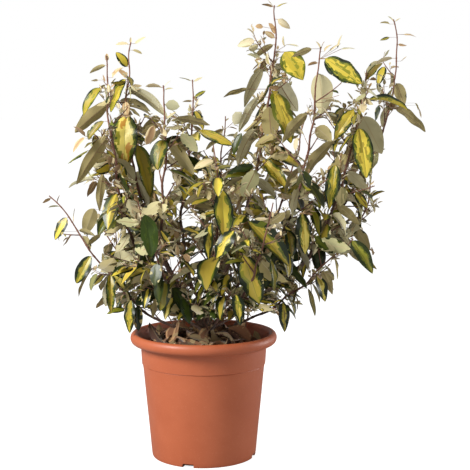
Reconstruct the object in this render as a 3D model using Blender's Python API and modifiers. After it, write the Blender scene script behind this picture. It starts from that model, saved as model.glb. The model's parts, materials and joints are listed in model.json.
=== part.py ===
"""A potted elaeagnus shrub with yellow-centred leaves, as separate solids.

The pot stands on z = 0 with its axis on the origin, and +Z is up. The stems that the front shows run
from a short trunk to their tips along one bend each. The lower, bare part of a stem is a bough, and
the rest carries one mass of foliage: a three-sided stem with side twigs and leaves fused to it.
Sizes are in metres and angles in degrees. Headings turn from +X (right) through +Y (back).
"""

import math
import random
from dataclasses import dataclass

import bmesh
import bpy
from mathutils import Matrix, Vector
from mathutils.bvhtree import BVHTree

GAP = 0.0003

# Pot
POT_HEIGHT = 0.222
RIM_RADIUS = 0.130
RIM_WIDTH = 0.0145
RIM_HEIGHT = 0.019
NECK_RADIUS = 0.1120
BAND_RADIUS = 0.1098
BAND_HEIGHT = 0.166
BAND_STEP = 0.0014
SHOULDER_RADIUS = 0.1072
SHOULDER_HEIGHT = 0.156
BASE_RADIUS = 0.0925
BASE_EDGE = 0.0020
WALL = 0.0024
POT_FLOOR = 0.0032
TURNED_STEPS = 40
RIM_ARC_POINTS = 6
NOTCHES = 4
NOTCH_WIDTH = 0.020
NOTCH_HEIGHT = 0.0065
NOTCH_DEPTH = 0.014
FIRST_NOTCH_HEADING = -106.0

# Soil
SOIL_TOP = 0.193
SOIL_MOUND = 0.004

# Trunk
TRUNK_FOOT = Vector((0.003, 0.0, SOIL_TOP + SOIL_MOUND + GAP))
TRUNK_TIP = Vector((0.006, 0.002, 0.262))
TRUNK_RADIUS = 0.0125
TRUNK_TIP_RADIUS = 0.0095
TRUNK_TIP_ROUNDING = 0.002
FLARE = 0.0065
FLARE_HEIGHT = 0.010
TRUNK_RUN = 0.006

# Stems, twigs and leaves
STEM_RUN = 0.036
BEND_ROOM = 0.004
FOOT_SEARCH_STEP = 0.00025
STEM_TAPER = 0.85
TIP_RADIUS = 0.0011
TWIG_RADIUS = 0.0012
TWIG_TIP_RADIUS = 0.0007
INTERNODE = 0.0228
YOUNG_INTERNODE = 0.0175
FIRST_NODE = 0.0135
GOLDEN_TURN = 137.5
TURN_JITTER = 22.0
LARGE_DROOP = (20.0, 72.0)
YOUNG_DROOP = (-35.0, 20.0)
MATURE_SHARE = 0.72
YOUNG_SIZE = 0.34
STEM_LEAF_SIZE = (0.80, 1.06)
LEAF_ROLL = 35.0
TIP_LEAF_DEPTH = 0.008
TIP_LEAF_DROOP = -62.0
STEM_END_ROOM = 0.004
TWIG_ZONE = 0.80
FIRST_TWIG = 0.3
TWIG_SPACING = 0.046
TWIG_REACH = (0.68, 1.18)
TWIG_SPREAD = (34.0, 58.0)
TWIG_ROOT = 0.12
TWIG_SHORTENING = (1.05, 0.45)
TWIG_LEAF_SPACING = 0.021
TWIG_LEAF_SIZE = (0.62, 0.92)
TWIG_LEAF_DROOP = (5.0, 70.0)
TWIG_TIP_SHARE = 0.97
ROW_SPREAD = (50.0, 80.0)
LEAF_WIDTH = (0.42, 0.49)
LEAF_THICKNESS = 0.020
LEAF_ARCH = 0.05
LEAF_BELLY = 0.42
LEAF_OUTLINE = 6
SMALL_LEAF_OUTLINE = 4
SMALL_LEAF = 0.078
SMALL_LEAF_WIDENING = 1.2
STALK = 0.11
CLEARANCE = 0.0009
POT_ROOM = 0.004
HANG_LIMIT = 0.19
TRIES = 9
TRY_SHRINK = 0.95
NEAREST_CORNERS = 0.000002
STEM_FULLNESS = 1.15
FUSE_TRIES = 10
FUSE_TURN = 7.0
SEED = 29

# Colours
TERRACOTTA = (0.50, 0.175, 0.085)
SOIL_BROWN = (0.045, 0.028, 0.018)
BARK_BROWN = (0.12, 0.065, 0.04)
LEAF_GREEN = (0.30, 0.30, 0.12)


@dataclass(frozen=True)
class Stem:
    """One stem: what it leaves, the point it bends towards, its tip, and how much of it is bare."""

    name: str
    parent: str
    fork: float
    elbow: tuple
    tip: tuple
    radius: float = 0.0034
    bare: float = 0.34
    leaf: float = 0.080


STEMS = (
    Stem("left_low", "trunk", 0.24, (-0.165, -0.030, 0.258), (-0.268, -0.035, 0.458), 0.0027, 0.22, 0.050),
    Stem("left_outer", "trunk", 0.60, (-0.190, -0.025, 0.365), (-0.172, -0.040, 0.700), 0.0038, 0.36, 0.088),
    Stem("left_tall", "trunk", 0.80, (-0.150, 0.050, 0.375), (-0.130, 0.045, 0.722), 0.0038, 0.36, 0.086),
    Stem("left_inner", "trunk", 0.70, (-0.115, -0.090, 0.335), (-0.068, -0.105, 0.650), 0.0036, 0.38, 0.078),
    Stem("centre_left", "trunk", 0.95, (-0.080, 0.090, 0.345), (-0.022, 0.100, 0.664), 0.0036, 0.36, 0.074),
    Stem("centre_tall", "trunk", 1.00, (0.078, 0.020, 0.340), (0.122, 0.020, 0.770), 0.0042, 0.34, 0.088),
    Stem("right_inner", "trunk", 0.86, (0.180, -0.060, 0.325), (0.197, -0.060, 0.722), 0.0038, 0.38, 0.084),
    Stem("right_tall", "trunk", 0.74, (0.305, 0.050, 0.330), (0.341, 0.050, 0.772), 0.0040, 0.44, 0.066),
    Stem("right_mid", "right_tall", 0.20, (0.228, -0.045, 0.350), (0.282, -0.030, 0.668), 0.0032, 0.36, 0.090),
    Stem("right_side", "right_tall", 0.34, (0.275, 0.005, 0.375), (0.296, 0.010, 0.474), 0.0024, 0.25, 0.066),
    Stem("right_low", "trunk", 0.26, (0.130, -0.030, 0.248), (0.258, -0.045, 0.385), 0.0027, 0.24, 0.064),
    Stem("front_mid", "trunk", 0.56, (0.010, -0.120, 0.315), (0.014, -0.150, 0.545), 0.0032, 0.25, 0.080),
    Stem("front_right", "trunk", 0.50, (0.092, -0.135, 0.290), (0.118, -0.175, 0.455), 0.0030, 0.23, 0.086),
    Stem("front_left", "trunk", 0.46, (-0.065, -0.130, 0.295), (-0.100, -0.165, 0.455), 0.0030, 0.23, 0.076),
    Stem("back_left", "trunk", 0.66, (-0.110, 0.140, 0.325), (-0.130, 0.185, 0.555), 0.0034, 0.27, 0.080),
    Stem("back_mid", "trunk", 0.54, (0.020, 0.150, 0.335), (0.036, 0.190, 0.590), 0.0034, 0.32, 0.080),
    Stem("back_right", "trunk", 0.70, (0.140, 0.140, 0.335), (0.190, 0.180, 0.600), 0.0034, 0.28, 0.080),
    Stem("front_skirt", "trunk", 0.22, (0.030, -0.090, 0.252), (0.048, -0.140, 0.305), 0.0024, 0.26, 0.064),
    Stem("back_skirt", "trunk", 0.20, (-0.034, 0.100, 0.256), (-0.055, 0.152, 0.318), 0.0024, 0.26, 0.064),
    Stem("back_right_low", "trunk", 0.34, (0.120, 0.100, 0.268), (0.205, 0.150, 0.400), 0.0028, 0.28, 0.072),
    Stem("back_left_low", "trunk", 0.36, (-0.110, 0.090, 0.268), (-0.205, 0.130, 0.400), 0.0028, 0.28, 0.072),
)


@dataclass(frozen=True)
class ShownLeaf:
    """A large leaf that stands out in the front view: its node's height, the way it points, and its roll."""

    stem: str
    height: float
    heading: float
    droop: float
    roll: float
    length: float
    width: float = 0.46


SHOWN_LEAVES = (
    ShownLeaf("left_tall", 0.682, 175, -42, 60, 0.046),
    ShownLeaf("left_tall", 0.660, -150, 62, 50, 0.074, 0.40),
    ShownLeaf("left_tall", 0.643, 0, 38, -60, 0.094, 0.38),
    ShownLeaf("left_tall", 0.602, -75, 80, 0, 0.092, 0.48),
    ShownLeaf("left_tall", 0.548, -25, 74, 55, 0.088, 0.42),
    ShownLeaf("left_outer", 0.642, 180, 48, 45, 0.062),
    ShownLeaf("left_outer", 0.628, 182, 38, -50, 0.086, 0.42),
    ShownLeaf("left_outer", 0.572, 185, 54, -55, 0.100, 0.40),
    ShownLeaf("left_outer", 0.485, 180, 12, 30, 0.056, 0.38),
    ShownLeaf("left_outer", 0.440, 120, 80, 0, 0.078, 0.46),
    ShownLeaf("left_inner", 0.600, 5, 12, -40, 0.074, 0.40),
    ShownLeaf("left_inner", 0.566, -80, 66, 0, 0.074, 0.48),
    ShownLeaf("left_inner", 0.535, 5, 46, -50, 0.072),
    ShownLeaf("centre_left", 0.578, -15, 27, 50, 0.074, 0.40),
    ShownLeaf("centre_left", 0.520, 178, 6, 40, 0.056, 0.40),
    ShownLeaf("left_low", 0.415, -165, 56, 35, 0.056),
    ShownLeaf("left_low", 0.352, -170, 58, 40, 0.056),
    ShownLeaf("left_low", 0.330, 185, 56, 80, 0.064, 0.40),
    ShownLeaf("left_low", 0.302, -110, 82, 20, 0.060),
    ShownLeaf("left_low", 0.288, 120, 82, 0, 0.056),
    ShownLeaf("left_low", 0.272, -95, 80, 10, 0.060),
    ShownLeaf("centre_tall", 0.722, 180, 32, -40, 0.044),
    ShownLeaf("centre_tall", 0.712, -45, 52, 30, 0.076, 0.54),
    ShownLeaf("centre_tall", 0.688, -170, 64, 55, 0.082, 0.38),
    ShownLeaf("centre_tall", 0.660, 55, 58, 0, 0.078, 0.50),
    ShownLeaf("centre_tall", 0.638, -60, 64, 15, 0.090, 0.46),
    ShownLeaf("centre_tall", 0.612, 188, 70, -65, 0.078, 0.44),
    ShownLeaf("centre_tall", 0.560, 172, 66, -60, 0.080, 0.42),
    ShownLeaf("centre_tall", 0.528, -40, 48, 40, 0.078, 0.42),
    ShownLeaf("right_inner", 0.706, 180, 34, -40, 0.042),
    ShownLeaf("right_inner", 0.696, -20, 36, 60, 0.080, 0.50),
    ShownLeaf("right_inner", 0.672, 90, 80, 0, 0.064, 0.62),
    ShownLeaf("right_inner", 0.604, 190, 50, -40, 0.072),
    ShownLeaf("right_tall", 0.655, 30, 64, 0, 0.048),
    ShownLeaf("right_tall", 0.622, 0, 36, -50, 0.084, 0.36),
    ShownLeaf("right_tall", 0.606, 190, 74, -50, 0.062),
    ShownLeaf("right_mid", 0.630, -5, 14, 42, 0.082, 0.40),
    ShownLeaf("right_mid", 0.617, -150, 60, 40, 0.070, 0.46),
    ShownLeaf("right_mid", 0.600, 55, 50, 0, 0.084, 0.50),
    ShownLeaf("right_mid", 0.575, -60, 68, 10, 0.094, 0.44),
    ShownLeaf("right_mid", 0.556, 185, 48, -60, 0.088, 0.40),
    ShownLeaf("right_mid", 0.510, -110, 80, 30, 0.090, 0.40),
    ShownLeaf("right_side", 0.456, 100, 74, 0, 0.060),
    ShownLeaf("right_side", 0.470, 15, -15, 30, 0.034),
    ShownLeaf("right_low", 0.380, -30, 54, 30, 0.076, 0.46),
    ShownLeaf("right_low", 0.318, -30, 66, 20, 0.060),
    ShownLeaf("right_low", 0.296, -100, 78, 10, 0.066),
    ShownLeaf("front_mid", 0.482, -70, 78, 0, 0.080, 0.44),
    ShownLeaf("front_mid", 0.420, -130, 60, 20, 0.066),
    ShownLeaf("front_right", 0.430, -20, 55, 45, 0.066, 0.46),
    ShownLeaf("front_right", 0.412, -130, 48, 30, 0.090, 0.38),
    ShownLeaf("front_left", 0.432, -75, 74, 0, 0.074, 0.48),
    ShownLeaf("front_left", 0.352, -95, 70, 0, 0.066, 0.50),
    ShownLeaf("front_skirt", 0.296, -80, 62, 0, 0.064, 0.46),
)


def clear_scene():
    for found in list(bpy.data.objects):
        bpy.data.objects.remove(found, do_unlink=True)


def new_collection(name):
    made = bpy.data.collections.new(name)
    bpy.context.scene.collection.children.link(made)
    return made


def material(name, colour, roughness):
    made = bpy.data.materials.new(name)
    made.use_nodes = True
    shader = made.node_tree.nodes["Principled BSDF"]
    shader.inputs["Base Color"].default_value = (*colour, 1.0)
    shader.inputs["Roughness"].default_value = roughness
    return made


def new_object(name, data, collection, finish=None):
    made = bpy.data.objects.new(name, data)
    collection.objects.link(made)
    if finish:
        data.materials.append(finish)
    return made


def compass(heading):
    """The level unit vector at this heading."""
    turn = math.radians(heading)
    return Vector((math.cos(turn), math.sin(turn), 0.0))


# Pot and soil


def rim_arc(centre_radius, centre_height, half_width, half_height, start, end, points):
    """Points of the rim's rounded section, from one angle to another."""
    for step in range(points):
        turn = math.radians(start + (end - start) * step / (points - 1))
        yield (
            centre_radius + half_width * math.cos(turn),
            centre_height + half_height * math.sin(turn),
        )


def pot_profile():
    """The pot's section, (radius, height), down the outer side and up the inner one."""
    half_width, half_height = RIM_WIDTH / 2, RIM_HEIGHT / 2
    rim_centre = RIM_RADIUS - half_width
    rim_middle = POT_HEIGHT - half_height
    outline = list(rim_arc(rim_centre, rim_middle, half_width, half_height, 90, -90, RIM_ARC_POINTS))
    outline += [
        (NECK_RADIUS + 0.0006, POT_HEIGHT - RIM_HEIGHT + 0.0010),
        (NECK_RADIUS, POT_HEIGHT - RIM_HEIGHT - 0.0020),
        (BAND_RADIUS, BAND_HEIGHT + 0.0004),
        (BAND_RADIUS - BAND_STEP, BAND_HEIGHT - 0.0004),
        (SHOULDER_RADIUS, SHOULDER_HEIGHT),
        (BASE_RADIUS, BASE_EDGE),
        (BASE_RADIUS - BASE_EDGE, 0.0),
        (0.0, 0.0),
        (0.0, POT_FLOOR),
        (inner_radius(POT_FLOOR), POT_FLOOR),
        (SHOULDER_RADIUS - WALL, SHOULDER_HEIGHT),
        (NECK_RADIUS - WALL, POT_HEIGHT - RIM_HEIGHT),
    ]
    inner_side = rim_arc(rim_centre, rim_middle, half_width, half_height, 180, 90, 4)
    outline += list(inner_side)[:-1]
    return outline


def inner_radius(height):
    """The pot's inner radius at a height below its shoulder."""
    rise = height / SHOULDER_HEIGHT
    return BASE_RADIUS - WALL + (SHOULDER_RADIUS - BASE_RADIUS) * rise


def turned(name, profile, closed, collection, finish):
    """A solid of revolution about Z from a (radius, height) profile."""
    mesh = bpy.data.meshes.new(name)
    count = len(profile)
    edges = [(i, i + 1) for i in range(count - 1)]
    if closed:
        edges.append((count - 1, 0))
    mesh.from_pydata([(radius, 0.0, height) for radius, height in profile], edges, [])
    made = new_object(name, mesh, collection, finish)
    screw = made.modifiers.new("turn", "SCREW")
    screw.axis = "Z"
    screw.angle = math.tau
    screw.steps = screw.render_steps = TURNED_STEPS
    screw.use_merge_vertices = True
    screw.merge_threshold = 0.00005
    screw.use_smooth_shade = True
    return made


def build_pot(parts, cutters, finish):
    pot = turned("pot", pot_profile(), True, parts, finish)
    for number in range(NOTCHES):
        heading = FIRST_NOTCH_HEADING + 360.0 * number / NOTCHES
        mesh = bpy.data.meshes.new(f"notch_{number}")
        shape = bmesh.new()
        bmesh.ops.create_cube(shape, size=1.0)
        bmesh.ops.scale(
            shape, vec=(2 * NOTCH_DEPTH, NOTCH_WIDTH, 2 * NOTCH_HEIGHT), verts=shape.verts
        )
        shape.to_mesh(mesh)
        shape.free()
        cutter = new_object(f"notch_{number}", mesh, cutters)
        cutter.location = compass(heading) * BASE_RADIUS
        cutter.rotation_euler.z = math.radians(heading)
        cutter.hide_render = True
        cutter.display_type = "WIRE"
        cut = pot.modifiers.new(f"notch_{number}", "BOOLEAN")
        cut.operation = "DIFFERENCE"
        cut.object = cutter
    return pot


def build_soil(parts, finish):
    """The potting soil: it fills the pot 0.3 mm clear of it, and rises a little round the trunk."""
    top_radius = NECK_RADIUS - WALL - 2 * GAP
    profile = [
        (0.0, SOIL_TOP + SOIL_MOUND),
        (0.028, SOIL_TOP + SOIL_MOUND),
        (0.075, SOIL_TOP + 0.0010),
        (top_radius - 0.0032, SOIL_TOP),
        (SHOULDER_RADIUS - WALL - GAP - 0.0004, SHOULDER_HEIGHT),
        (inner_radius(POT_FLOOR) - GAP - 0.0004, POT_FLOOR + GAP),
        (0.0, POT_FLOOR + GAP),
    ]
    return turned("soil", profile, False, parts, finish)


# Stems


class Path:
    """A bent line of short straight runs with a tapering radius, measured along its length."""

    def __init__(self, start, elbow, end, foot_radius, tip_radius, run=STEM_RUN):
        steps = max(3, round(((elbow - start).length + (end - elbow).length) / run))
        self.points = []
        for step in range(steps + 1):
            t = step / steps
            self.points.append(start * (1 - t) ** 2 + elbow * 2 * t * (1 - t) + end * t * t)
        self.lengths = [0.0]
        for before, after in zip(self.points, self.points[1:]):
            self.lengths.append(self.lengths[-1] + (after - before).length)
        self.length = self.lengths[-1]
        self.foot_radius, self.tip_radius = foot_radius, tip_radius

    def place(self, share):
        """The point at a share of the length."""
        wanted = share * self.length
        for index in range(1, len(self.points)):
            if wanted <= self.lengths[index] or index == len(self.points) - 1:
                step = self.lengths[index] - self.lengths[index - 1]
                part = (wanted - self.lengths[index - 1]) / step
                return self.points[index - 1].lerp(self.points[index], part)

    def direction(self, share):
        low, high = max(0.0, share - 0.01), min(1.0, share + 0.01)
        return (self.place(high) - self.place(low)).normalized()

    def radius(self, share):
        return self.foot_radius + (self.tip_radius - self.foot_radius) * share**STEM_TAPER

    def shares(self, start, end):
        """The shares of the path's own bends between two shares, with those two."""
        bends = [length / self.length for length in self.lengths]
        return [start, *(bend for bend in bends if start + BEND_ROOM < bend < end - BEND_ROOM), end]

    def share_at_height(self, height):
        """The share of the length where the path first reaches a height."""
        for index in range(1, len(self.points)):
            if self.points[index].z >= height:
                rise = self.points[index].z - self.points[index - 1].z
                part = (height - self.points[index - 1].z) / rise
                step = self.lengths[index] - self.lengths[index - 1]
                return (self.lengths[index - 1] + part * step) / self.length
        return 1.0


def tube(name, places, radii, sides_resolution, collection, finish=None, section=None):
    """A tapering tube through points, as a curve with filled caps."""
    curve = bpy.data.curves.new(name, "CURVE")
    curve.dimensions = "3D"
    curve.twist_mode = "MINIMUM"
    spline = curve.splines.new("POLY")
    spline.points.add(len(places) - 1)
    for point, place, radius in zip(spline.points, places, radii):
        point.co = (*place, 1.0)
        point.radius = radius
    if section:
        curve.bevel_mode = "OBJECT"
        curve.bevel_object = section
    else:
        curve.bevel_depth = 1.0
        curve.bevel_resolution = sides_resolution
    curve.use_fill_caps = True
    return new_object(name, curve, collection, finish)


def triangle_section(cutters):
    """The three-sided section of the foliage stems, with a corner radius of 1."""
    curve = bpy.data.curves.new("three_sided_section", "CURVE")
    curve.dimensions = "2D"
    spline = curve.splines.new("POLY")
    spline.points.add(2)
    spline.use_cyclic_u = True
    for number, point in enumerate(spline.points):
        turn = math.tau * number / 3
        point.co = (math.cos(turn), math.sin(turn), 0.0, 1.0)
    made = new_object("three_sided_section", curve, cutters)
    made.hide_render = True
    made.display_type = "WIRE"
    return made


def as_mesh(made, collection):
    """The object's evaluated shape as a mesh object with its caps welded. The first object is removed."""
    name = made.name
    bpy.context.view_layer.update()
    graph = bpy.context.evaluated_depsgraph_get()
    mesh = bpy.data.meshes.new_from_object(made.evaluated_get(graph))
    mesh.transform(made.matrix_world)
    shape = bmesh.new()
    shape.from_mesh(mesh)
    bmesh.ops.remove_doubles(shape, verts=shape.verts, dist=1e-6)
    bmesh.ops.recalc_face_normals(shape, faces=shape.faces)
    shape.to_mesh(mesh)
    shape.free()
    bpy.data.objects.remove(made)
    return new_object(name, mesh, collection)


def tree_of(made):
    """A search tree of the object's evaluated surface, in world space."""
    bpy.context.view_layer.update()
    graph = bpy.context.evaluated_depsgraph_get()
    evaluated = made.evaluated_get(graph)
    mesh = evaluated.to_mesh()
    corners = [made.matrix_world @ vertex.co for vertex in mesh.vertices]
    faces = [tuple(face.vertices) for face in mesh.polygons]
    evaluated.to_mesh_clear()
    return BVHTree.FromPolygons(corners, faces)


def disc_rim(centre, direction, radius, points=12):
    """Points round a disc's edge."""
    across = direction.orthogonal().normalized()
    for number in range(points):
        turn = Matrix.Rotation(math.tau * number / points, 3, direction)
        yield centre + turn @ across * radius


def first_clear_share(path, parent_tree):
    """The first share of the path where its flat foot stands clear of the parent's surface."""
    steps = int(path.length / FOOT_SEARCH_STEP)
    for step in range(1, steps):
        share = step / steps
        centre, direction = path.place(share), path.direction(share)
        for point in disc_rim(centre, direction, path.radius(share)):
            near, normal, _, distance = parent_tree.find_nearest(point)
            if distance < GAP or (point - near).dot(normal) < 0:
                break
        else:
            return share
    return 0.0


def build_trunk(parts, finish):
    elbow = TRUNK_FOOT + Vector((0.0, 0.0, (TRUNK_TIP.z - TRUNK_FOOT.z) / 2))
    path = Path(TRUNK_FOOT, elbow, TRUNK_TIP, TRUNK_RADIUS, TRUNK_TIP_RADIUS, TRUNK_RUN)
    shares = (0.0, 0.05, 0.12, 0.22, 0.38, 0.60, 0.82, 0.94, 1.0)
    radii = [path.radius(s) + FLARE * math.exp(-s * path.length / FLARE_HEIGHT) for s in shares]
    radii[-1] -= TRUNK_TIP_ROUNDING
    trunk = tube("trunk", [path.place(s) for s in shares], radii, 4, parts, finish)
    return trunk, path


def build_boughs(parts, finish, paths, trees):
    """The bare lower part of every stem. It fills in each stem's path and its bough's search tree."""
    for stem in STEMS:
        start = paths[stem.parent].place(stem.fork)
        path = Path(start, Vector(stem.elbow), Vector(stem.tip), stem.radius, TIP_RADIUS)
        paths[stem.name] = path
        foot = first_clear_share(path, trees[stem.parent])
        shares = path.shares(foot, stem.bare)
        bough = tube(
            f"bough_{stem.name}",
            [path.place(s) for s in shares],
            [path.radius(s) for s in shares],
            1,
            parts,
            finish,
        )
        trees[stem.name] = tree_of(bough)


# Foliage


@dataclass
class Leaf:
    """A leaf on a short stalk. X of its frame runs along the midrib, and Z out of the upper face."""

    stem: str
    foot: Vector
    heading: float
    droop: float
    roll: float
    length: float
    width: float

    def frame(self):
        """The blade's place, with its base a stalk's length out from the leaf's foot."""
        fall = math.radians(self.droop)
        out = compass(self.heading)
        along = out * math.cos(fall) - Vector((0.0, 0.0, 1.0)) * math.sin(fall)
        above = Vector((0.0, 0.0, 1.0)) * math.cos(fall) + out * math.sin(fall)
        above = Matrix.Rotation(math.radians(self.roll), 3, along) @ above
        turn = Matrix((along, above.cross(along), above)).transposed()
        return Matrix.Translation(self.foot + out * self.length * STALK) @ turn.to_4x4()

    def surface(self, margin=0.0, rooted=True):
        """The blade's (corners, faces), a flat ball with a four or six-sided outline.

        Rooted, its base is drawn in to the leaf's foot. A margin thickens it all round.
        """
        outline = LEAF_OUTLINE if self.length > SMALL_LEAF else SMALL_LEAF_OUTLINE
        shape = bmesh.new()
        bmesh.ops.create_uvsphere(shape, u_segments=outline, v_segments=2, radius=1.0)
        half_width = self.length * self.width / 2
        if outline == LEAF_OUTLINE:
            half_width /= math.sin(math.tau / LEAF_OUTLINE)
        else:
            half_width *= SMALL_LEAF_WIDENING
        place = self.frame()
        corners = []
        for corner in shape.verts:
            x, y, z = corner.co.y, -corner.co.x, corner.co.z
            if rooted and x < -0.9:
                corners.append(self.foot.copy())
                continue
            if abs(z) > 0.5 or (outline == SMALL_LEAF_OUTLINE and abs(y) > 0.5):
                x = 2 * LEAF_BELLY - 1
            arch = LEAF_ARCH * self.length * (1 - x * x)
            thick = math.copysign(self.length * LEAF_THICKNESS / 2 + margin, z) if abs(z) > 0.5 else 0.0
            along = self.length * (x + 1) / 2 + margin * x
            corners.append(place @ Vector((along, y * (half_width + margin), arch + thick)))
        faces = [[v.index for v in face.verts] for face in shape.faces]
        shape.free()
        return corners, faces

    def tree(self, margin, rooted):
        return BVHTree.FromPolygons(*self.surface(margin, rooted))

    def middle(self):
        return self.frame() @ Vector((self.length / 2, 0.0, 0.0))


class Space:
    """What has been placed so far, for keeping solids apart."""

    def __init__(self):
        self.limbs = []
        self.leaves = []

    def add_limb(self, owner, tree):
        """Adds a limb. The owner is the stem whose mass it is fused to, or "" for a bough or the trunk."""
        self.limbs.append((owner, tree))

    def limb_touches(self, owner, whole, outer):
        """True if a new piece meets a limb. Only its outer part is held against its own mass."""
        return any((outer if limb == owner else whole).overlap(tree) for limb, tree in self.limbs)

    def takes(self, leaf):
        """True if the leaf is clear of the pot, of every limb and of every other leaf."""
        whole = leaf.tree(CLEARANCE, True)
        outer = leaf.tree(CLEARANCE, False)
        if self.limb_touches(leaf.stem, whole, outer) or not pot_clear(leaf):
            return False
        middle, reach = leaf.middle(), leaf.length * (0.5 + STALK) + CLEARANCE
        for other, other_middle, other_whole, other_outer in self.leaves:
            if (other_middle - middle).length > reach + other.length * (0.5 + STALK):
                continue
            if other.stem == leaf.stem:
                if outer.overlap(other_outer):
                    return False
            elif whole.overlap(other_whole):
                return False
        return True

    def add(self, leaf):
        self.leaves.append((leaf, leaf.middle(), leaf.tree(0.0, True), leaf.tree(0.0, False)))


def pot_clear(leaf):
    """True if the leaf is above the soil and passes the pot's rim and wall with room to spare."""
    for point in leaf.surface()[0]:
        away = math.hypot(point.x, point.y)
        if away < RIM_RADIUS - RIM_WIDTH - POT_ROOM:
            lowest = SOIL_TOP + SOIL_MOUND + POT_ROOM
        elif away < RIM_RADIUS + POT_ROOM:
            lowest = POT_HEIGHT + POT_ROOM
        else:
            lowest = HANG_LIMIT
        if point.z < lowest:
            return False
    return True


@dataclass
class Twig:
    """A straight side twig of a mass."""

    stem: str
    foot: Vector
    tip: Vector


def twig_solid(twig, turn, collection):
    """A three-sided cone from inside the stem to the twig's tip, turned about its own length."""
    mesh = bpy.data.meshes.new("twig")
    shape = bmesh.new()
    span = twig.tip - twig.foot
    bmesh.ops.create_cone(
        shape,
        cap_ends=True,
        segments=3,
        radius1=TWIG_RADIUS,
        radius2=TWIG_TIP_RADIUS,
        depth=span.length,
    )
    bmesh.ops.translate(shape, vec=(0, 0, span.length / 2), verts=shape.verts)
    aim = span.to_track_quat("Z", "X").to_matrix().to_4x4() @ Matrix.Rotation(turn, 4, "Z")
    bmesh.ops.transform(shape, matrix=Matrix.Translation(twig.foot) @ aim, verts=shape.verts)
    shape.to_mesh(mesh)
    shape.free()
    return new_object("twig", mesh, collection)


def leaf_solid(leaf, collection):
    mesh = bpy.data.meshes.new("leaf")
    corners, faces = leaf.surface()
    mesh.from_pydata(corners, [], faces)
    return new_object("leaf", mesh, collection)


def shown_leaves(paths):
    """The leaves that stand out in the front view, each on its stem at its height."""
    for shown in SHOWN_LEAVES:
        path = paths[shown.stem]
        foot = path.place(path.share_at_height(shown.height))
        yield Leaf(
            shown.stem, foot, shown.heading, shown.droop, shown.roll, shown.length, shown.width
        )


def mature_share(q):
    """How far a leaf at share q of its mass has grown: 1 low down, less towards the tip."""
    if q < MATURE_SHARE:
        return 1.0
    return 1.0 + (YOUNG_SIZE - 1.0) * (q - MATURE_SHARE) / (1 - MATURE_SHARE)


def grow_twigs(stem, path, chance, space):
    """Side twigs, up to where the leaves turn young. A twig that meets another limb is skipped."""
    grown = []
    room = (1 - stem.bare) * path.length
    heading = chance.uniform(0, 360)
    nodes = int(room * TWIG_ZONE / TWIG_SPACING)
    for number in range(nodes):
        q = (number + FIRST_TWIG) / nodes * TWIG_ZONE
        share = stem.bare + q * (1 - stem.bare)
        foot, along = path.place(share), path.direction(share)
        for _ in range(TRIES):
            heading += GOLDEN_TURN + chance.uniform(-TURN_JITTER, TURN_JITTER)
            spread = math.radians(chance.uniform(*TWIG_SPREAD))
            shortening = TWIG_SHORTENING[0] + (TWIG_SHORTENING[1] - TWIG_SHORTENING[0]) * q
            length = stem.leaf * chance.uniform(*TWIG_REACH) * shortening
            out = compass(heading)
            out = (out - along * out.dot(along)).normalized()
            tip = foot + (out * math.sin(spread) + along * math.cos(spread)) * length
            twig = Twig(stem.name, foot, tip)
            clear = foot.lerp(tip, TWIG_ROOT + path.radius(share) / length)
            whole = segment_tree(foot, tip, TWIG_RADIUS + CLEARANCE)
            outer = segment_tree(clear, tip, TWIG_RADIUS + CLEARANCE)
            if not space.limb_touches(stem.name, whole, outer):
                grown.append(twig)
                space.add_limb(stem.name, segment_tree(foot, tip, TWIG_RADIUS))
                break
    return grown


def segment_tree(start, end, radius):
    """A search tree of a three-sided bar between two points."""
    across = (end - start).orthogonal().normalized()
    corners = []
    for place in (start, end):
        for number in range(3):
            turn = Matrix.Rotation(math.tau * number / 3, 3, (end - start).normalized())
            corners.append(place + turn @ across * radius)
    faces = [(0, 1, 4, 3), (1, 2, 5, 4), (2, 0, 3, 5), (0, 2, 1), (3, 4, 5)]
    return BVHTree.FromPolygons(corners, faces)


def stem_leaves(stem, path, chance):
    """Leaves up the stem: for each node, the tries that may be placed there."""
    heading = chance.uniform(0, 360)
    at = stem.bare * path.length + FIRST_NODE
    while at < path.length - STEM_END_ROOM:
        share = at / path.length
        q = (share - stem.bare) / (1 - stem.bare)
        grown = mature_share(q)
        heading += GOLDEN_TURN
        tries = []
        for _ in range(TRIES):
            turn = heading + chance.uniform(-TURN_JITTER, TURN_JITTER) * (1 + len(tries))
            low, high = (a + (b - a) * grown for a, b in zip(YOUNG_DROOP, LARGE_DROOP))
            droop = chance.uniform(low, high)
            length = stem.leaf * grown * chance.uniform(*STEM_LEAF_SIZE) * TRY_SHRINK ** len(tries)
            roll, width = chance.uniform(-LEAF_ROLL, LEAF_ROLL), chance.uniform(*LEAF_WIDTH)
            tries.append(Leaf(stem.name, path.place(share), turn, droop, roll, length, width))
        yield tries
        at += YOUNG_INTERNODE + (INTERNODE - YOUNG_INTERNODE) * grown
    tip = path.place(1 - TIP_LEAF_DEPTH)
    yield [Leaf(stem.name, tip, heading, TIP_LEAF_DROOP, 0, stem.leaf * YOUNG_SIZE, LEAF_WIDTH[0])]


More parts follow.
